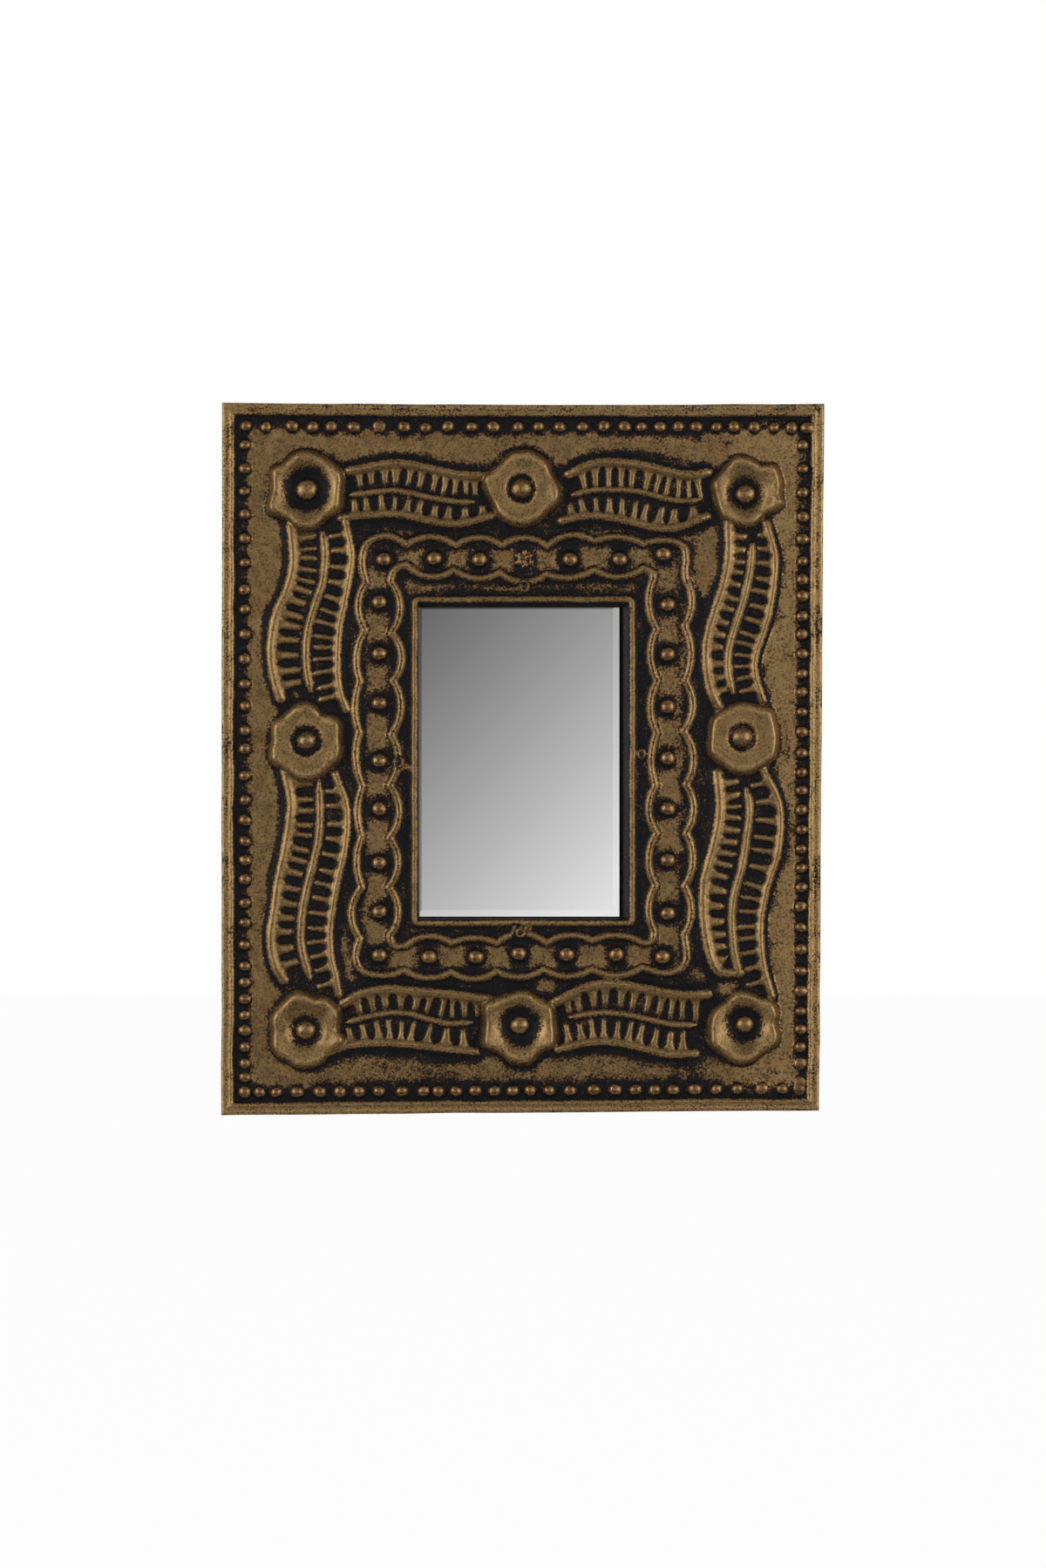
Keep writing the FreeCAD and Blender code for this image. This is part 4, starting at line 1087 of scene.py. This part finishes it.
# The bronze lightens towards a pale bronze where polish and painted highlight are high.
bronze = mixed(tree, times(tree, polished_and_highlit, 0.62), bronze, srgb(196, 160, 108))
bronze = mixed(tree, times(tree, warmth, 0.62), bronze, srgb(150, 109, 72))
bronze = mixed(tree, times_plus(tree, fine, 1.3, 0.86, clamp=True), srgb(52, 42, 29), bronze)
stain = two_colours(tree, ramp(tree, covered, 0.0, 0.55), (28, 27, 29), (86, 62, 40))
colour = mixed(tree, ramp(tree, covered, 0.35, 0.95), stain, bronze)
rough = times_plus(tree, fine, 0.22, times_plus(tree, warmth, -0.12, 0.40), clamp=True)
connect(tree, shader, Base_Color=colour, Metallic=times(tree, covered, 0.8), Roughness=rough)
shader.inputs["Specular IOR Level"].default_value = 0.06
bumped(tree, shader, times_plus(tree, coarse, 0.6, fine), 0.5, 0.00012)
for obj in panels:
    obj.data.materials.append(tin)

# %% [markdown]
# The mirror is a slab of glass, silvered behind, with a narrow bevel ground round its front.
# What the eye sees is the silver, so the front takes a mirror finish, and the bevel leans a little. The bevel's
# silver is set darker: painted shade.

# %% The mirror
glass_low, glass_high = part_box("mirror_glass")
BEVEL, BEVEL_FALL = 3.2 * MM, 0.08 * MM


def slab_layer(inset_by, level):
    """The four corners of the glass, drawn in from its edge, at one level."""
    x0, x1 = glass_low[0] + inset_by, glass_high[0] - inset_by
    z0, z1 = glass_low[2] + inset_by, glass_high[2] - inset_by
    return [(x0, level, z0), (x1, level, z0), (x1, level, z1), (x0, level, z1)]


flat_front, bevel_foot = slab_layer(BEVEL, glass_low[1]), slab_layer(0, glass_low[1] + BEVEL_FALL)
corners = flat_front + bevel_foot + slab_layer(0, glass_high[1])
faces = [(0, 1, 2, 3), (8, 11, 10, 9)]
for k in (0, 4):
    faces += [(k + (n + 1) % 4, k + n, k + 4 + n, k + 4 + (n + 1) % 4) for n in range(4)]
glass_mesh = bpy.data.meshes.new("mirror_pane")
glass_mesh.from_pydata(corners, [], faces)
pane = in_scene("mirror_pane", glass_mesh)
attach(pane, "frame")
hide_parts("mirror_glass")
print("pane, mm:", [round((b - a) / MM, 1) for a, b in zip(glass_low, glass_high)])

# %% The mirror's finishes
FRONT_FACES, BACK_FACES, BEVEL_FACES, EDGE_FACES = [0], [1], [2, 3, 4, 5], [6, 7, 8, 9]


def finish_faces(material, numbers):
    """Puts a material on these faces of the glass."""
    glass_mesh.materials.append(material)
    for number in numbers:
        glass_mesh.polygons[number].material_index = len(glass_mesh.materials) - 1


def silvered(name, grey):
    """Silver behind glass: nearly a perfect mirror, with a breath of haze here and there."""
    material, tree, shader = simple_material(name)
    dust = noise(tree, own_places(tree), 60.0, 5.0, 0.7)
    haze = times_plus(tree, ramp(tree, dust, 0.4, 0.8), 0.038, 0.012)
    tint = mixed(tree, dust, (grey, grey + 0.005, grey, 1), (grey - 0.03, grey - 0.025, grey - 0.03, 1))
    connect(tree, shader, Base_Color=tint, Roughness=haze)
    shader.inputs["Metallic"].default_value = 1.0
    return material


def rubbed_matt(name, scale, detail, low, high, roughness):
    """A matt finish of two close colours that noise mixes."""
    material, tree, shader = simple_material(name)
    speckles = noise(tree, own_places(tree), scale, detail)
    connect(tree, shader, Base_Color=two_colours(tree, speckles, low, high))
    shader.inputs["Roughness"].default_value = roughness
    return material


finish_faces(silvered("mirror_silver", 0.93), FRONT_FACES)
finish_faces(rubbed_matt("ground_glass_edge", 900.0, 3.0, (120, 140, 130), (160, 176, 168), 0.45), EDGE_FACES)
finish_faces(rubbed_matt("mirror_back_paint", 120.0, 5.0, (92, 96, 98), (112, 116, 118), 0.6), BACK_FACES)
# The bevel's silver is darker than the front's: painted shade.
finish_faces(silvered("bevel_silver_painted_darker", 0.79), BEVEL_FACES)

# %% [markdown]
# Behind the tin lie plain planks of pine, half lapped at the corners, and a square of plywood closes the back.
# Growth rings make wood's figure. They are circles about the heart of the tree, outside the plank, stretched
# along the grain. One group draws them for every wooden piece, each with its own direction and scale.

# %% A group for the figure of wood
wood, wood_in, wood_out = new_group(
    "wood_figure", [("Place", "vector", None), ("Heart", "vector", None), ("Rings", "number", 70.0)],
    ["Figure", "Fibre"])


def vector_node(tree, operation, *values):
    return add(tree, "ShaderNodeVectorMath", dict(enumerate(values)), operation=operation).outputs[0]


stretched = vector_node(wood, "MULTIPLY", wood_in["Place"], (0.09, 1.0, 1.0))
bends = add(wood, "ShaderNodeTexNoise", {"Vector": stretched, "Scale": 34.0, "Detail": 2.0}).outputs["Color"]
bends = vector_node(wood, "SUBTRACT", bends, (0.5, 0.5, 0.5))
bent = vector_node(wood, "MULTIPLY_ADD", bends, (0.05, 0.05, 0.05), stretched)
off_heart = vector_node(wood, "SUBTRACT", bent, wood_in["Heart"])
ring_inputs = {"Vector": off_heart, "Scale": wood_in["Rings"], "Distortion": 0.6, "Detail": 2.0}
rings = add(
    wood, "ShaderNodeTexWave", ring_inputs, wave_type="RINGS", rings_direction="X", wave_profile="SIN")
along_fibres = vector_node(wood, "MULTIPLY", wood_in["Place"], (0.02, 1.0, 1.0))
wood.links.new(math_node(wood, "POWER", rings.outputs["Fac"], 1.8), wood_out["Figure"])
wood.links.new(noise(wood, along_fibres, 1500.0, 3.0, 0.6), wood_out["Fibre"])


def swapped(tree, order):
    """The object's own places with their axes in another order, so that the grain runs along the first."""
    spot = own_axes(tree)
    return add(tree, "ShaderNodeCombineXYZ", {k: spot[axis] for k, axis in enumerate(order)}).outputs[0]


def figured(tree, place, heart, rings):
    """The wood group placed in a material: its rings and its fibres."""
    inputs = {"Place": place, "Heart": heart, "Rings": rings}
    figure = add(tree, "ShaderNodeGroup", inputs, node_tree=wood)
    return figure.outputs["Figure"], figure.outputs["Fibre"]


def dressed(name, material):
    nodes[name].data.materials.clear()
    nodes[name].data.materials.append(material)


# %% Pine planks: the grain runs along each plank, and the saw has left faint marks across it
def pine(name, order, heart):
    material, tree, shader = simple_material(name)
    place = swapped(tree, order)
    figure, fibre = figured(tree, place, heart, 84.0)
    tone = two_colours(tree, figure, (206, 168, 118), (170, 121, 74))
    tone = mixed(tree, times(tree, ramp(tree, fibre, 0.35, 0.7), 0.35), tone, srgb(132, 92, 58))
    aged = ramp(tree, noise(tree, place, 14.0, 4.0), 0.45, 0.8)
    tone = mixed(tree, times(tree, aged, 0.5), tone, srgb(120, 88, 58))
    connect(tree, shader, Base_Color=tone, Roughness=times_plus(tree, fibre, 0.3, 0.5))
    saw_inputs = {"Vector": place, "Scale": 130.0, "Distortion": 1.5, "Detail": 1.0}
    saw = add(tree, "ShaderNodeTexWave", saw_inputs, wave_type="BANDS", bands_direction="X").outputs["Fac"]
    grown = math_node(tree, "ADD", fibre, times(tree, figure, 0.25))
    bumped(tree, shader, times_plus(tree, saw, 0.25, grown), 0.5, 0.0002)
    return material


HEART_DEPTH = -0.058
for plank, order, along_plank, across_plank in (
    ("top", "XYZ", 0.0, 0.138), ("bottom", "XYZ", 0.02, -0.152),
    ("left", "ZYX", 0.0, -0.106), ("right", "ZYX", 0.03, 0.122),
):
    node = plank + ("_rail" if order == "XYZ" else "_stile")
    dressed(node, pine("pine_" + plank, order, (along_plank, HEART_DEPTH, across_plank)))
print("four planks dressed")

# %% [markdown]
# The back board is three-ply: a broad, wavy figure on its faces, because the veneer was peeled from the
# log, and the plies show as stripes on its edges, with the middle one darker and glue lines between.

# %% Plywood
plywood, tree, shader = simple_material("three_ply")
figure, fibre = figured(tree, swapped(tree, "ZYX"), (0.0, -0.09, 0.012), 52.0)
veneer = two_colours(tree, figure, (205, 172, 122), (176, 132, 84))
veneer = mixed(tree, times(tree, ramp(tree, fibre, 0.5, 0.75), 0.5), veneer, srgb(122, 86, 54))
board_low, board_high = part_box("back_board")
depth = math_node(tree, "SUBTRACT", own_axes(tree)["Y"], board_low.y)
from_middle = away_from(tree, math_node(tree, "DIVIDE", depth, board_high.y - board_low.y), 0.5)
core = ramp(tree, from_middle, 0.19, 0.15)
glue = ramp(tree, away_from(tree, from_middle, 0.17), 0.035, 0.015)
end_fibre = noise(tree, own_places(tree), 1300.0, 2.0)
plies = two_colours(tree, core, (190, 152, 104), (142, 100, 62))
plies = mixed(tree, times(tree, glue, 0.8), plies, srgb(70, 46, 30))
plies = mixed(tree, times(tree, end_fibre, 0.5), plies, srgb(96, 66, 42))
on_face = ramp(tree, math_node(tree, "ABSOLUTE", own_axes(tree, "Normal")["Y"]), 0.4, 0.6)
handled = noise(tree, own_places(tree), 22.0, 6.0, 0.65)
board_colour = mixed(tree, on_face, plies, veneer)
smudge = times(tree, ramp(tree, handled, 0.5, 0.78), 0.4)
board_colour = mixed(tree, smudge, board_colour, srgb(128, 96, 66))
connect(tree, shader, Base_Color=board_colour, Roughness=times_plus(tree, handled, 0.3, 0.45))
bumped(tree, shader, times_plus(tree, figure, 0.15, fibre), 0.4, 0.00012)
dressed("back_board", plywood)

# %% Card: black card behind the glass, and a pad of corrugated card whose flutes press through its liner
black_card, tree, shader = simple_material("black_card")
fine, coarse = speckled(tree, 1400.0, 1.6)
fuzz = math_node(tree, "ADD", fine, 0.4, clamp=True)
rough = times_plus(tree, coarse, 0.3, 0.85, clamp=True)
connect(tree, shader, Base_Color=two_colours(tree, fuzz, (20, 20, 21), (44, 43, 42)), Roughness=rough)
bumped(tree, shader, fine, 0.3, 0.00008)
dressed("backing_card", black_card)

kraft, tree, shader = simple_material("corrugated_card")
fine, coarse = speckled(tree, 1100.0, 1.8)
spot = own_axes(tree)
FLUTE = 2 * math.pi / (6.5 * MM)
flutes = times_plus(tree, math_node(tree, "SINE", times(tree, spot["X"], FLUTE)), 0.5, 0.5)
tone = two_colours(tree, math_node(tree, "ADD", fine, 0.5, clamp=True), (146, 110, 70), (186, 147, 98))
tone = mixed(tree, times(tree, flutes, 0.18), tone, srgb(120, 88, 55))
pad_low, pad_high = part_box("packing_pad")
middle_y, half_y = (pad_low.y + pad_high.y) / 2, (pad_high.y - pad_low.y) / 2
in_core = math_node(tree, "DIVIDE", math_node(tree, "SUBTRACT", spot["Y"], middle_y), 0.8 * half_y)
# Painted shade: on the cut ends, the openings between the fluted wave and the liners are painted dark.
wave = math_node(tree, "LESS_THAN", away_from(tree, in_core, times_plus(tree, flutes, 2.0, -1.0)), 0.35)
liner = math_node(tree, "GREATER_THAN", math_node(tree, "ABSOLUTE", in_core), 1.0)
painted_shade_in_flutes = math_node(tree, "SUBTRACT", 1.0, math_node(tree, "MAXIMUM", wave, liner))
end_on = math_node(tree, "GREATER_THAN", math_node(tree, "ABSOLUTE", own_axes(tree, "Normal")["Z"]), 0.6)
tone = mixed(tree, times(tree, painted_shade_in_flutes, end_on), tone, srgb(38, 27, 18))
connect(tree, shader, Base_Color=tone, Roughness=times_plus(tree, coarse, 0.25, 0.8, clamp=True))
bumped(tree, shader, math_node(tree, "ADD", times(tree, flutes, 0.8), fine), 0.35, 0.0002)
dressed("packing_pad", kraft)

# %% [markdown]
# The steel pieces share one group: fine scratches from noise drawn out in one direction, and larger
# patches that dull the plating. Nails and tacks are blued, the hanger is zinc plated with a little rust.

# %% A group for worn metal, and the two steels
worn, worn_in, worn_out = new_group("worn_metal", [("Size", "number", 400.0)], ["Scratches", "Patches"])
place = own_places(worn)
drawn = vector_node(worn, "MULTIPLY", place, (1.0, 1.0, 0.08))
scratches = noise(worn, drawn, times(worn, worn_in["Size"], 6.0), 2.0)
patches = noise(worn, place, worn_in["Size"], 5.0, 0.65)
worn.links.new(ramp(worn, scratches, 0.55, 0.75), worn_out["Scratches"])
worn.links.new(ramp(worn, patches, 0.42, 0.68), worn_out["Patches"])


def steel(name, size, clean, dulled, rust, rust_share, rough):
    """Bright steel with dull patches, scratches and spots of rust, which are rough and no metal."""
    material, tree, shader = simple_material(name)
    wear = add(tree, "ShaderNodeGroup", {"Size": size}, node_tree=worn).outputs
    tone = two_colours(tree, wear["Patches"], clean, dulled)
    tone = mixed(tree, times(tree, wear["Scratches"], 0.35), tone, srgb(196, 194, 188))
    spots = noise(tree, own_places(tree), size * 2.2, 4.0)
    rusty = ramp(tree, spots, 0.72 - rust_share, 0.84 - rust_share)
    metallic = math_node(tree, "SUBTRACT", 1.0, times(tree, rusty, 0.85))
    rough = times_plus(tree, wear["Patches"], 0.22, times_plus(tree, rusty, 0.3, rough), clamp=True)
    connect(tree, shader, Base_Color=mixed(tree, rusty, tone, srgb(*rust)), Metallic=metallic, Roughness=rough)
    bumped(tree, shader, math_node(tree, "ADD", wear["Scratches"], rusty), 0.25, 0.00005)
    return material


blued = steel("blued_steel", 500.0, (62, 64, 72), (42, 40, 42), (92, 58, 38), 0.12, 0.3)
zinc = steel("plated_steel", 260.0, (176, 170, 152), (140, 132, 112), (112, 72, 44), 0.06, 0.28)
dressed("hanger_strap", zinc)

# %% [markdown]
# Nails, tacks and screws are turned shapes: a profile of radius and level, carried round an axis. Their
# places come from the carried nodes: the points of a node are gathered into heaps, one for each nail.

# %% Turned pieces at the carried places
HEAP_REACH = 6.0


def heaps(name):
    """The middle of each nail of a node, in millimetres. Points that lie near each other belong together."""
    across = np.array([v.co[:] for v in nodes[name].data.vertices])[:, (0, 2)] / MM
    found = []
    while len(across):
        near = np.hypot(*(across - across[0]).T) < HEAP_REACH
        found.append((across[near].min(0) + across[near].max(0)) / 2)
        across = across[~near]
    return found


def turned(profile, x, z, level, outward, sides=14):
    """Points and faces of a closed shape turned about an axis along Y, facing the back for +1 and the front
    for -1: x plus r cos a, the level plus or minus the lift, and z minus or plus r sin a."""
    angles = 2 * math.pi * np.arange(sides) / sides
    points = [(x, level + outward * profile[0][1], z)]
    for radius, lift in profile[1:-1]:
        ring_x, ring_z = x + radius * np.cos(angles), z - outward * radius * np.sin(angles)
        points += [(a, level + outward * lift, b) for a, b in zip(ring_x, ring_z)]
    points.append((x, level + outward * profile[-1][1], z))
    steps = [(k, (k + 1) % sides) for k in range(sides)]
    faces = [(0, 1 + k, 1 + n) for k, n in steps]
    for ring in range(len(profile) - 3):
        a = 1 + ring * sides
        faces += [(a + k, a + sides + k, a + sides + n, a + n) for k, n in steps]
    last, end = 1 + (len(profile) - 3) * sides, len(points) - 1
    faces += [(last + k, end, last + n) for k, n in steps]
    return np.array(points) * MM, faces


def piece(name, parts, material, body, replaced):
    """One object from several closed shapes, with smooth sides and sharp edges kept by angle."""
    points, faces, total = [], [], 0
    for part_points, part_faces in parts:
        points += part_points.tolist()
        faces += [tuple(total + k for k in face) for face in part_faces]
        total += len(part_points)
    mesh = bpy.data.meshes.new(name)
    mesh.from_pydata(points, [], faces)
    mesh.materials.append(material)
    mesh.polygons.foreach_set("use_smooth", np.ones(len(faces), bool))
    mesh.set_sharp_from_angle(angle=math.radians(42))
    obj = in_scene(name, mesh)
    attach(obj, body)
    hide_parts(replaced)
    print(name, len(parts), "shapes,", len(faces), "faces")
    return obj


def nail_profile(head, thick, shank, length, flush=False):
    """From the middle of the head, out over its edge, in to the shank and down to the point."""
    if flush:
        top = [(0, thick), (head * 0.9, thick), (head, thick * 0.8)]
    else:
        domed_head = [(math.sin(a), 0.25 + 0.75 * math.cos(a)) for a in (0.45, 0.9, 1.3, 1.571)]
        top = [(0, thick)] + [(head * across, thick * up) for across, up in domed_head]
    return top + [(head * 0.97, 0.0), (shank, 0.0), (shank * 0.9, -length * 0.8), (0, -length)]


HEM_LEVEL, BOARD_NAIL_LEVEL = -3.4, -0.8
for name, carried, profile, level, outward in (
    ("tack_heads", "side_tacks", nail_profile(2.2, 0.8, 0.75, 8.0), HEM_LEVEL, 1),
    ("face_nail_heads", "face_nails", nail_profile(1.7, 0.5, 0.75, 8.0), FACE_LEVEL, -1),
    ("board_nail_heads", "board_nails", nail_profile(2.2, 0.8, 0.75, 9.0, flush=True), BOARD_NAIL_LEVEL, 1),
):
    shapes = [turned(profile, x, z, level, outward) for x, z in heaps(carried)]
    piece(name, shapes, blued, "frame", carried)

# %% Slotted screws: the slot is a groove cut across each turned head
SCREW_LEVEL, SCREW_SIDES = -3.3, 28
SCREW_PROFILE = [
    (0, 1.0), (0.9, 0.95), (1.7, 0.74), (2.3, 0.38), (2.6, 0.06),
    (2.55, 0.0), (1.15, 0.0), (1.1, -6.5), (0, -8.0)]
SLOT_LONG, SLOT_DEEP, SLOT_WIDE, SLOT_RISE = 7.0, 1.2, 0.75, 1.05
SLOT_TURNS = (0.5, -0.9)
screw_places = heaps("hanger_screws")
shapes = [turned(SCREW_PROFILE, x, z, SCREW_LEVEL, 1, SCREW_SIDES) for x, z in screw_places]
screws = piece("slotted_screws", shapes, zinc, "frame", "hanger_screws")
cutter_mesh = bpy.data.meshes.new("slot_cutter")
bm = bmesh.new()
for (x, z), turn in zip(screw_places, SLOT_TURNS):
    for vertex in bmesh.ops.create_cube(bm, size=1.0)["verts"]:
        a, b, c = vertex.co.x * SLOT_LONG, vertex.co.y * SLOT_DEEP, vertex.co.z * SLOT_WIDE
        across, up = a * math.cos(turn) - c * math.sin(turn), a * math.sin(turn) + c * math.cos(turn)
        vertex.co = Vector((x + across, SCREW_LEVEL + SLOT_RISE + b, z + up)) * MM
bm.to_mesh(cutter_mesh)
bm.free()
cutter = in_scene("slot_cutter", cutter_mesh)
cut = screws.modifiers.new("slot", "BOOLEAN")
cut.operation, cut.object, cut.solver = "DIFFERENCE", cutter, "EXACT"
bpy.context.view_layer.update()
grooved = bpy.data.meshes.new_from_object(screws.evaluated_get(bpy.context.evaluated_depsgraph_get()))
screws.modifiers.clear()
screws.data = grooved
bpy.data.objects.remove(cutter)
print("slotted screws:", len(grooved.polygons), "faces")

# %% [markdown]
# The hanging ring is round wire bent into a D: a straight bar that turns in the strap, two tight bends,
# two short legs and a half circle. A circle of points is carried along that path. It rides the ring's body.

# %% The hanging ring
RING_TOP, RING_LEVEL, WIRE, AROUND = 140.5, -2.25, 0.9, 14
BAR_HALF, BAR_END, CORNER, LEG_END, HALF_RING = 3.5, 7.1, 1.8, 134.7, 8.9


def bend(x, z, radius, first, last, count):
    """Places and outward directions round an arc; the angle turns clockwise from straight up."""
    angles = np.linspace(first, last, count)
    out = np.stack([np.sin(angles), np.cos(angles)], -1)
    return np.hstack([np.array([x, z]) + radius * out, out])


QUARTER = math.pi / 2
path = np.vstack([
    [0.0, RING_TOP, 0.0, 1.0], [BAR_HALF, RING_TOP, 0.0, 1.0],
    bend(BAR_END, RING_TOP - CORNER, CORNER, 0, QUARTER, 7),
    bend(0.0, LEG_END, HALF_RING, QUARTER, 3 * QUARTER, 29),
    bend(-BAR_END, RING_TOP - CORNER, CORNER, -QUARTER, 0, 7),
    [-BAR_HALF, RING_TOP, 0.0, 1.0]])
angles = 2 * math.pi * np.arange(AROUND) / AROUND
x, z, out_x, out_z = (path[:, k, None] for k in range(4))
level = RING_LEVEL + WIRE * np.sin(angles) + 0 * x
section = [x + out_x * WIRE * np.cos(angles), level, z + out_z * WIRE * np.cos(angles)]
wire_points = np.stack(section, -1).reshape(-1, 3) * MM
wire_faces = []
for s in range(len(path)):
    a, b = s * AROUND, (s + 1) % len(path) * AROUND
    wire_faces += [(a + k, b + k, b + (k + 1) % AROUND, a + (k + 1) % AROUND) for k in range(AROUND)]
ring_wire = piece("ring_wire", [(wire_points, wire_faces)], zinc, "ring", "hanging_ring")
check = bmesh.new()
check.from_mesh(ring_wire.data)
print("volume of the ring's wire, mm3: %.1f" % (check.calc_volume(signed=True) / MM**3))
check.free()

# %% [markdown]
# The picture was taken straight on with a long lens, against white. The stage here has a pale floor, a
# white surround for the camera, two soft boxes at the sides, and a graded card behind the camera
# which the camera doesn't see; it also lights the scene a little, and it gives the glass its grey that pales
# towards the lower right.

# %% Camera
PICTURE_HIGH, PICTURE_MIDDLE = 1799, (600, 899.5)
camera = bpy.data.cameras.new("camera")
camera.lens, camera.sensor_width, camera.sensor_fit = 85.0, 36.0, "AUTO"
view = in_scene("camera", camera)
distance = PICTURE_HIGH * MM_PER_PIXEL * MM * camera.lens / camera.sensor_width
aim_x, aim_z = on_sheet(PICTURE_MIDDLE) * MM
view.location = (aim_x, FACE_LEVEL * MM - distance, aim_z)
view.rotation_euler = (math.pi / 2, 0, 0)
bpy.context.scene.camera = view
print("camera %.2f m in front of the sheet" % distance)

# %% Surround and floor
world = bpy.data.worlds.new("surround")
world.use_nodes = True
bpy.context.scene.world = world
tree = world.node_tree
rays = add(tree, "ShaderNodeLightPath").outputs
seen = math_node(tree, "MAXIMUM", rays["Is Camera Ray"], rays["Is Glossy Ray"])
seen = math_node(tree, "MAXIMUM", seen, rays["Is Transmission Ray"])
level = mixed(tree, seen, (0.30, 0.30, 0.30, 1), (1, 1, 1, 1))
tree.links.new(level, tree.nodes["Background"].inputs["Color"])


def flat_sheet(name, corners, material):
    """A face of four corners on the stage, with its material."""
    mesh = bpy.data.meshes.new(name)
    mesh.from_pydata(corners, [], [(0, 1, 2, 3)])
    mesh.materials.append(material)
    return in_scene(name, mesh)


def level_corners(x_half, y_near, y_far, z):
    return [(-x_half, y_near, z), (x_half, y_near, z), (x_half, y_far, z), (-x_half, y_far, z)]


FLOOR_LEVEL, FLOOR_HALF = -0.46, 6.0
pale, tree, shader = simple_material("pale_floor")
shader.inputs["Base Color"].default_value = (0.82, 0.82, 0.82, 1)
shader.inputs["Roughness"].default_value = 0.9
to_camera = times(tree, add(tree, "ShaderNodeLightPath").outputs["Is Camera Ray"], 0.96)
glow = add(tree, "ShaderNodeEmission", {"Color": (1, 1, 1, 1), "Strength": 1.0})
both = add(tree, "ShaderNodeMixShader", {0: to_camera, 1: shader.outputs[0], 2: glow.outputs[0]})
tree.links.new(both.outputs[0], tree.nodes["Material Output"].inputs["Surface"])
floor = flat_sheet("floor", level_corners(FLOOR_HALF, -FLOOR_HALF, FLOOR_HALF, FLOOR_LEVEL), pale)

# %% Soft boxes and the graded card
BOX_OUT, BOX_FORWARD, BOX_UP, BOX_WIDE, BOX_TALL = 1.5, -1.1, 0.1, 0.6, 1.4
for name, place_x, watts in (("left_box", -BOX_OUT, 14), ("right_box", BOX_OUT, 12.5)):
    lamp = bpy.data.lights.new(name, "AREA")
    lamp.shape, lamp.size, lamp.size_y, lamp.energy = "RECTANGLE", BOX_WIDE, BOX_TALL, watts
    box = in_scene(name, lamp)
    box.location = (place_x, BOX_FORWARD, BOX_UP)
    box.rotation_euler = (-Vector(box.location)).to_track_quat("-Z", "Y").to_euler()


def studio_card(name, corners, material, only_reflected=True):
    """A flat card that the camera doesn't see. With only_reflected it only shows in what shines."""
    card = flat_sheet(name, corners, material)
    card.visible_camera = card.visible_transmission = False
    if only_reflected:
        card.visible_diffuse = card.visible_shadow = False


def glowing(name, strength):
    """A material that only glows. Strength is a number, or a function that builds one in the tree."""
    material, tree, _ = simple_material(name)
    value = strength(tree) if callable(strength) else strength
    glow = add(tree, "ShaderNodeEmission", {"Color": (1, 1, 1, 1), "Strength": value})
    tree.links.new(glow.outputs[0], tree.nodes["Material Output"].inputs["Surface"])
    return material


def diagonal(tree):
    """The screen's grey rises evenly from the upper left to the lower right; to the power 2.2 it is light."""
    spot = own_axes(tree)
    grey = times_plus(tree, math_node(tree, "SUBTRACT", spot["X"], spot["Z"]), 0.70, 0.69, clamp=True)
    return math_node(tree, "POWER", grey, 2.2)


def standing(x, z, y):
    return [(-x, y, -z), (-x, y, z), (x, y, z), (x, y, -z)]


studio_card("graded_card", standing(0.55, 0.75, -3.4), glowing("graded_grey", diagonal), False)
studio_card("grey_wall", standing(2.4, 2.4, -3.7), glowing("wall_grey", 0.9))
for name, z, strength in (("flag_above", 1.2, 0.12), ("flag_below", -0.44, 0.03)):
    studio_card(name, level_corners(2.0, -3.2, -0.25, z), glowing(name + "_grey", strength))

# %% Finish
bpy.context.scene.view_settings.view_transform = "Standard"
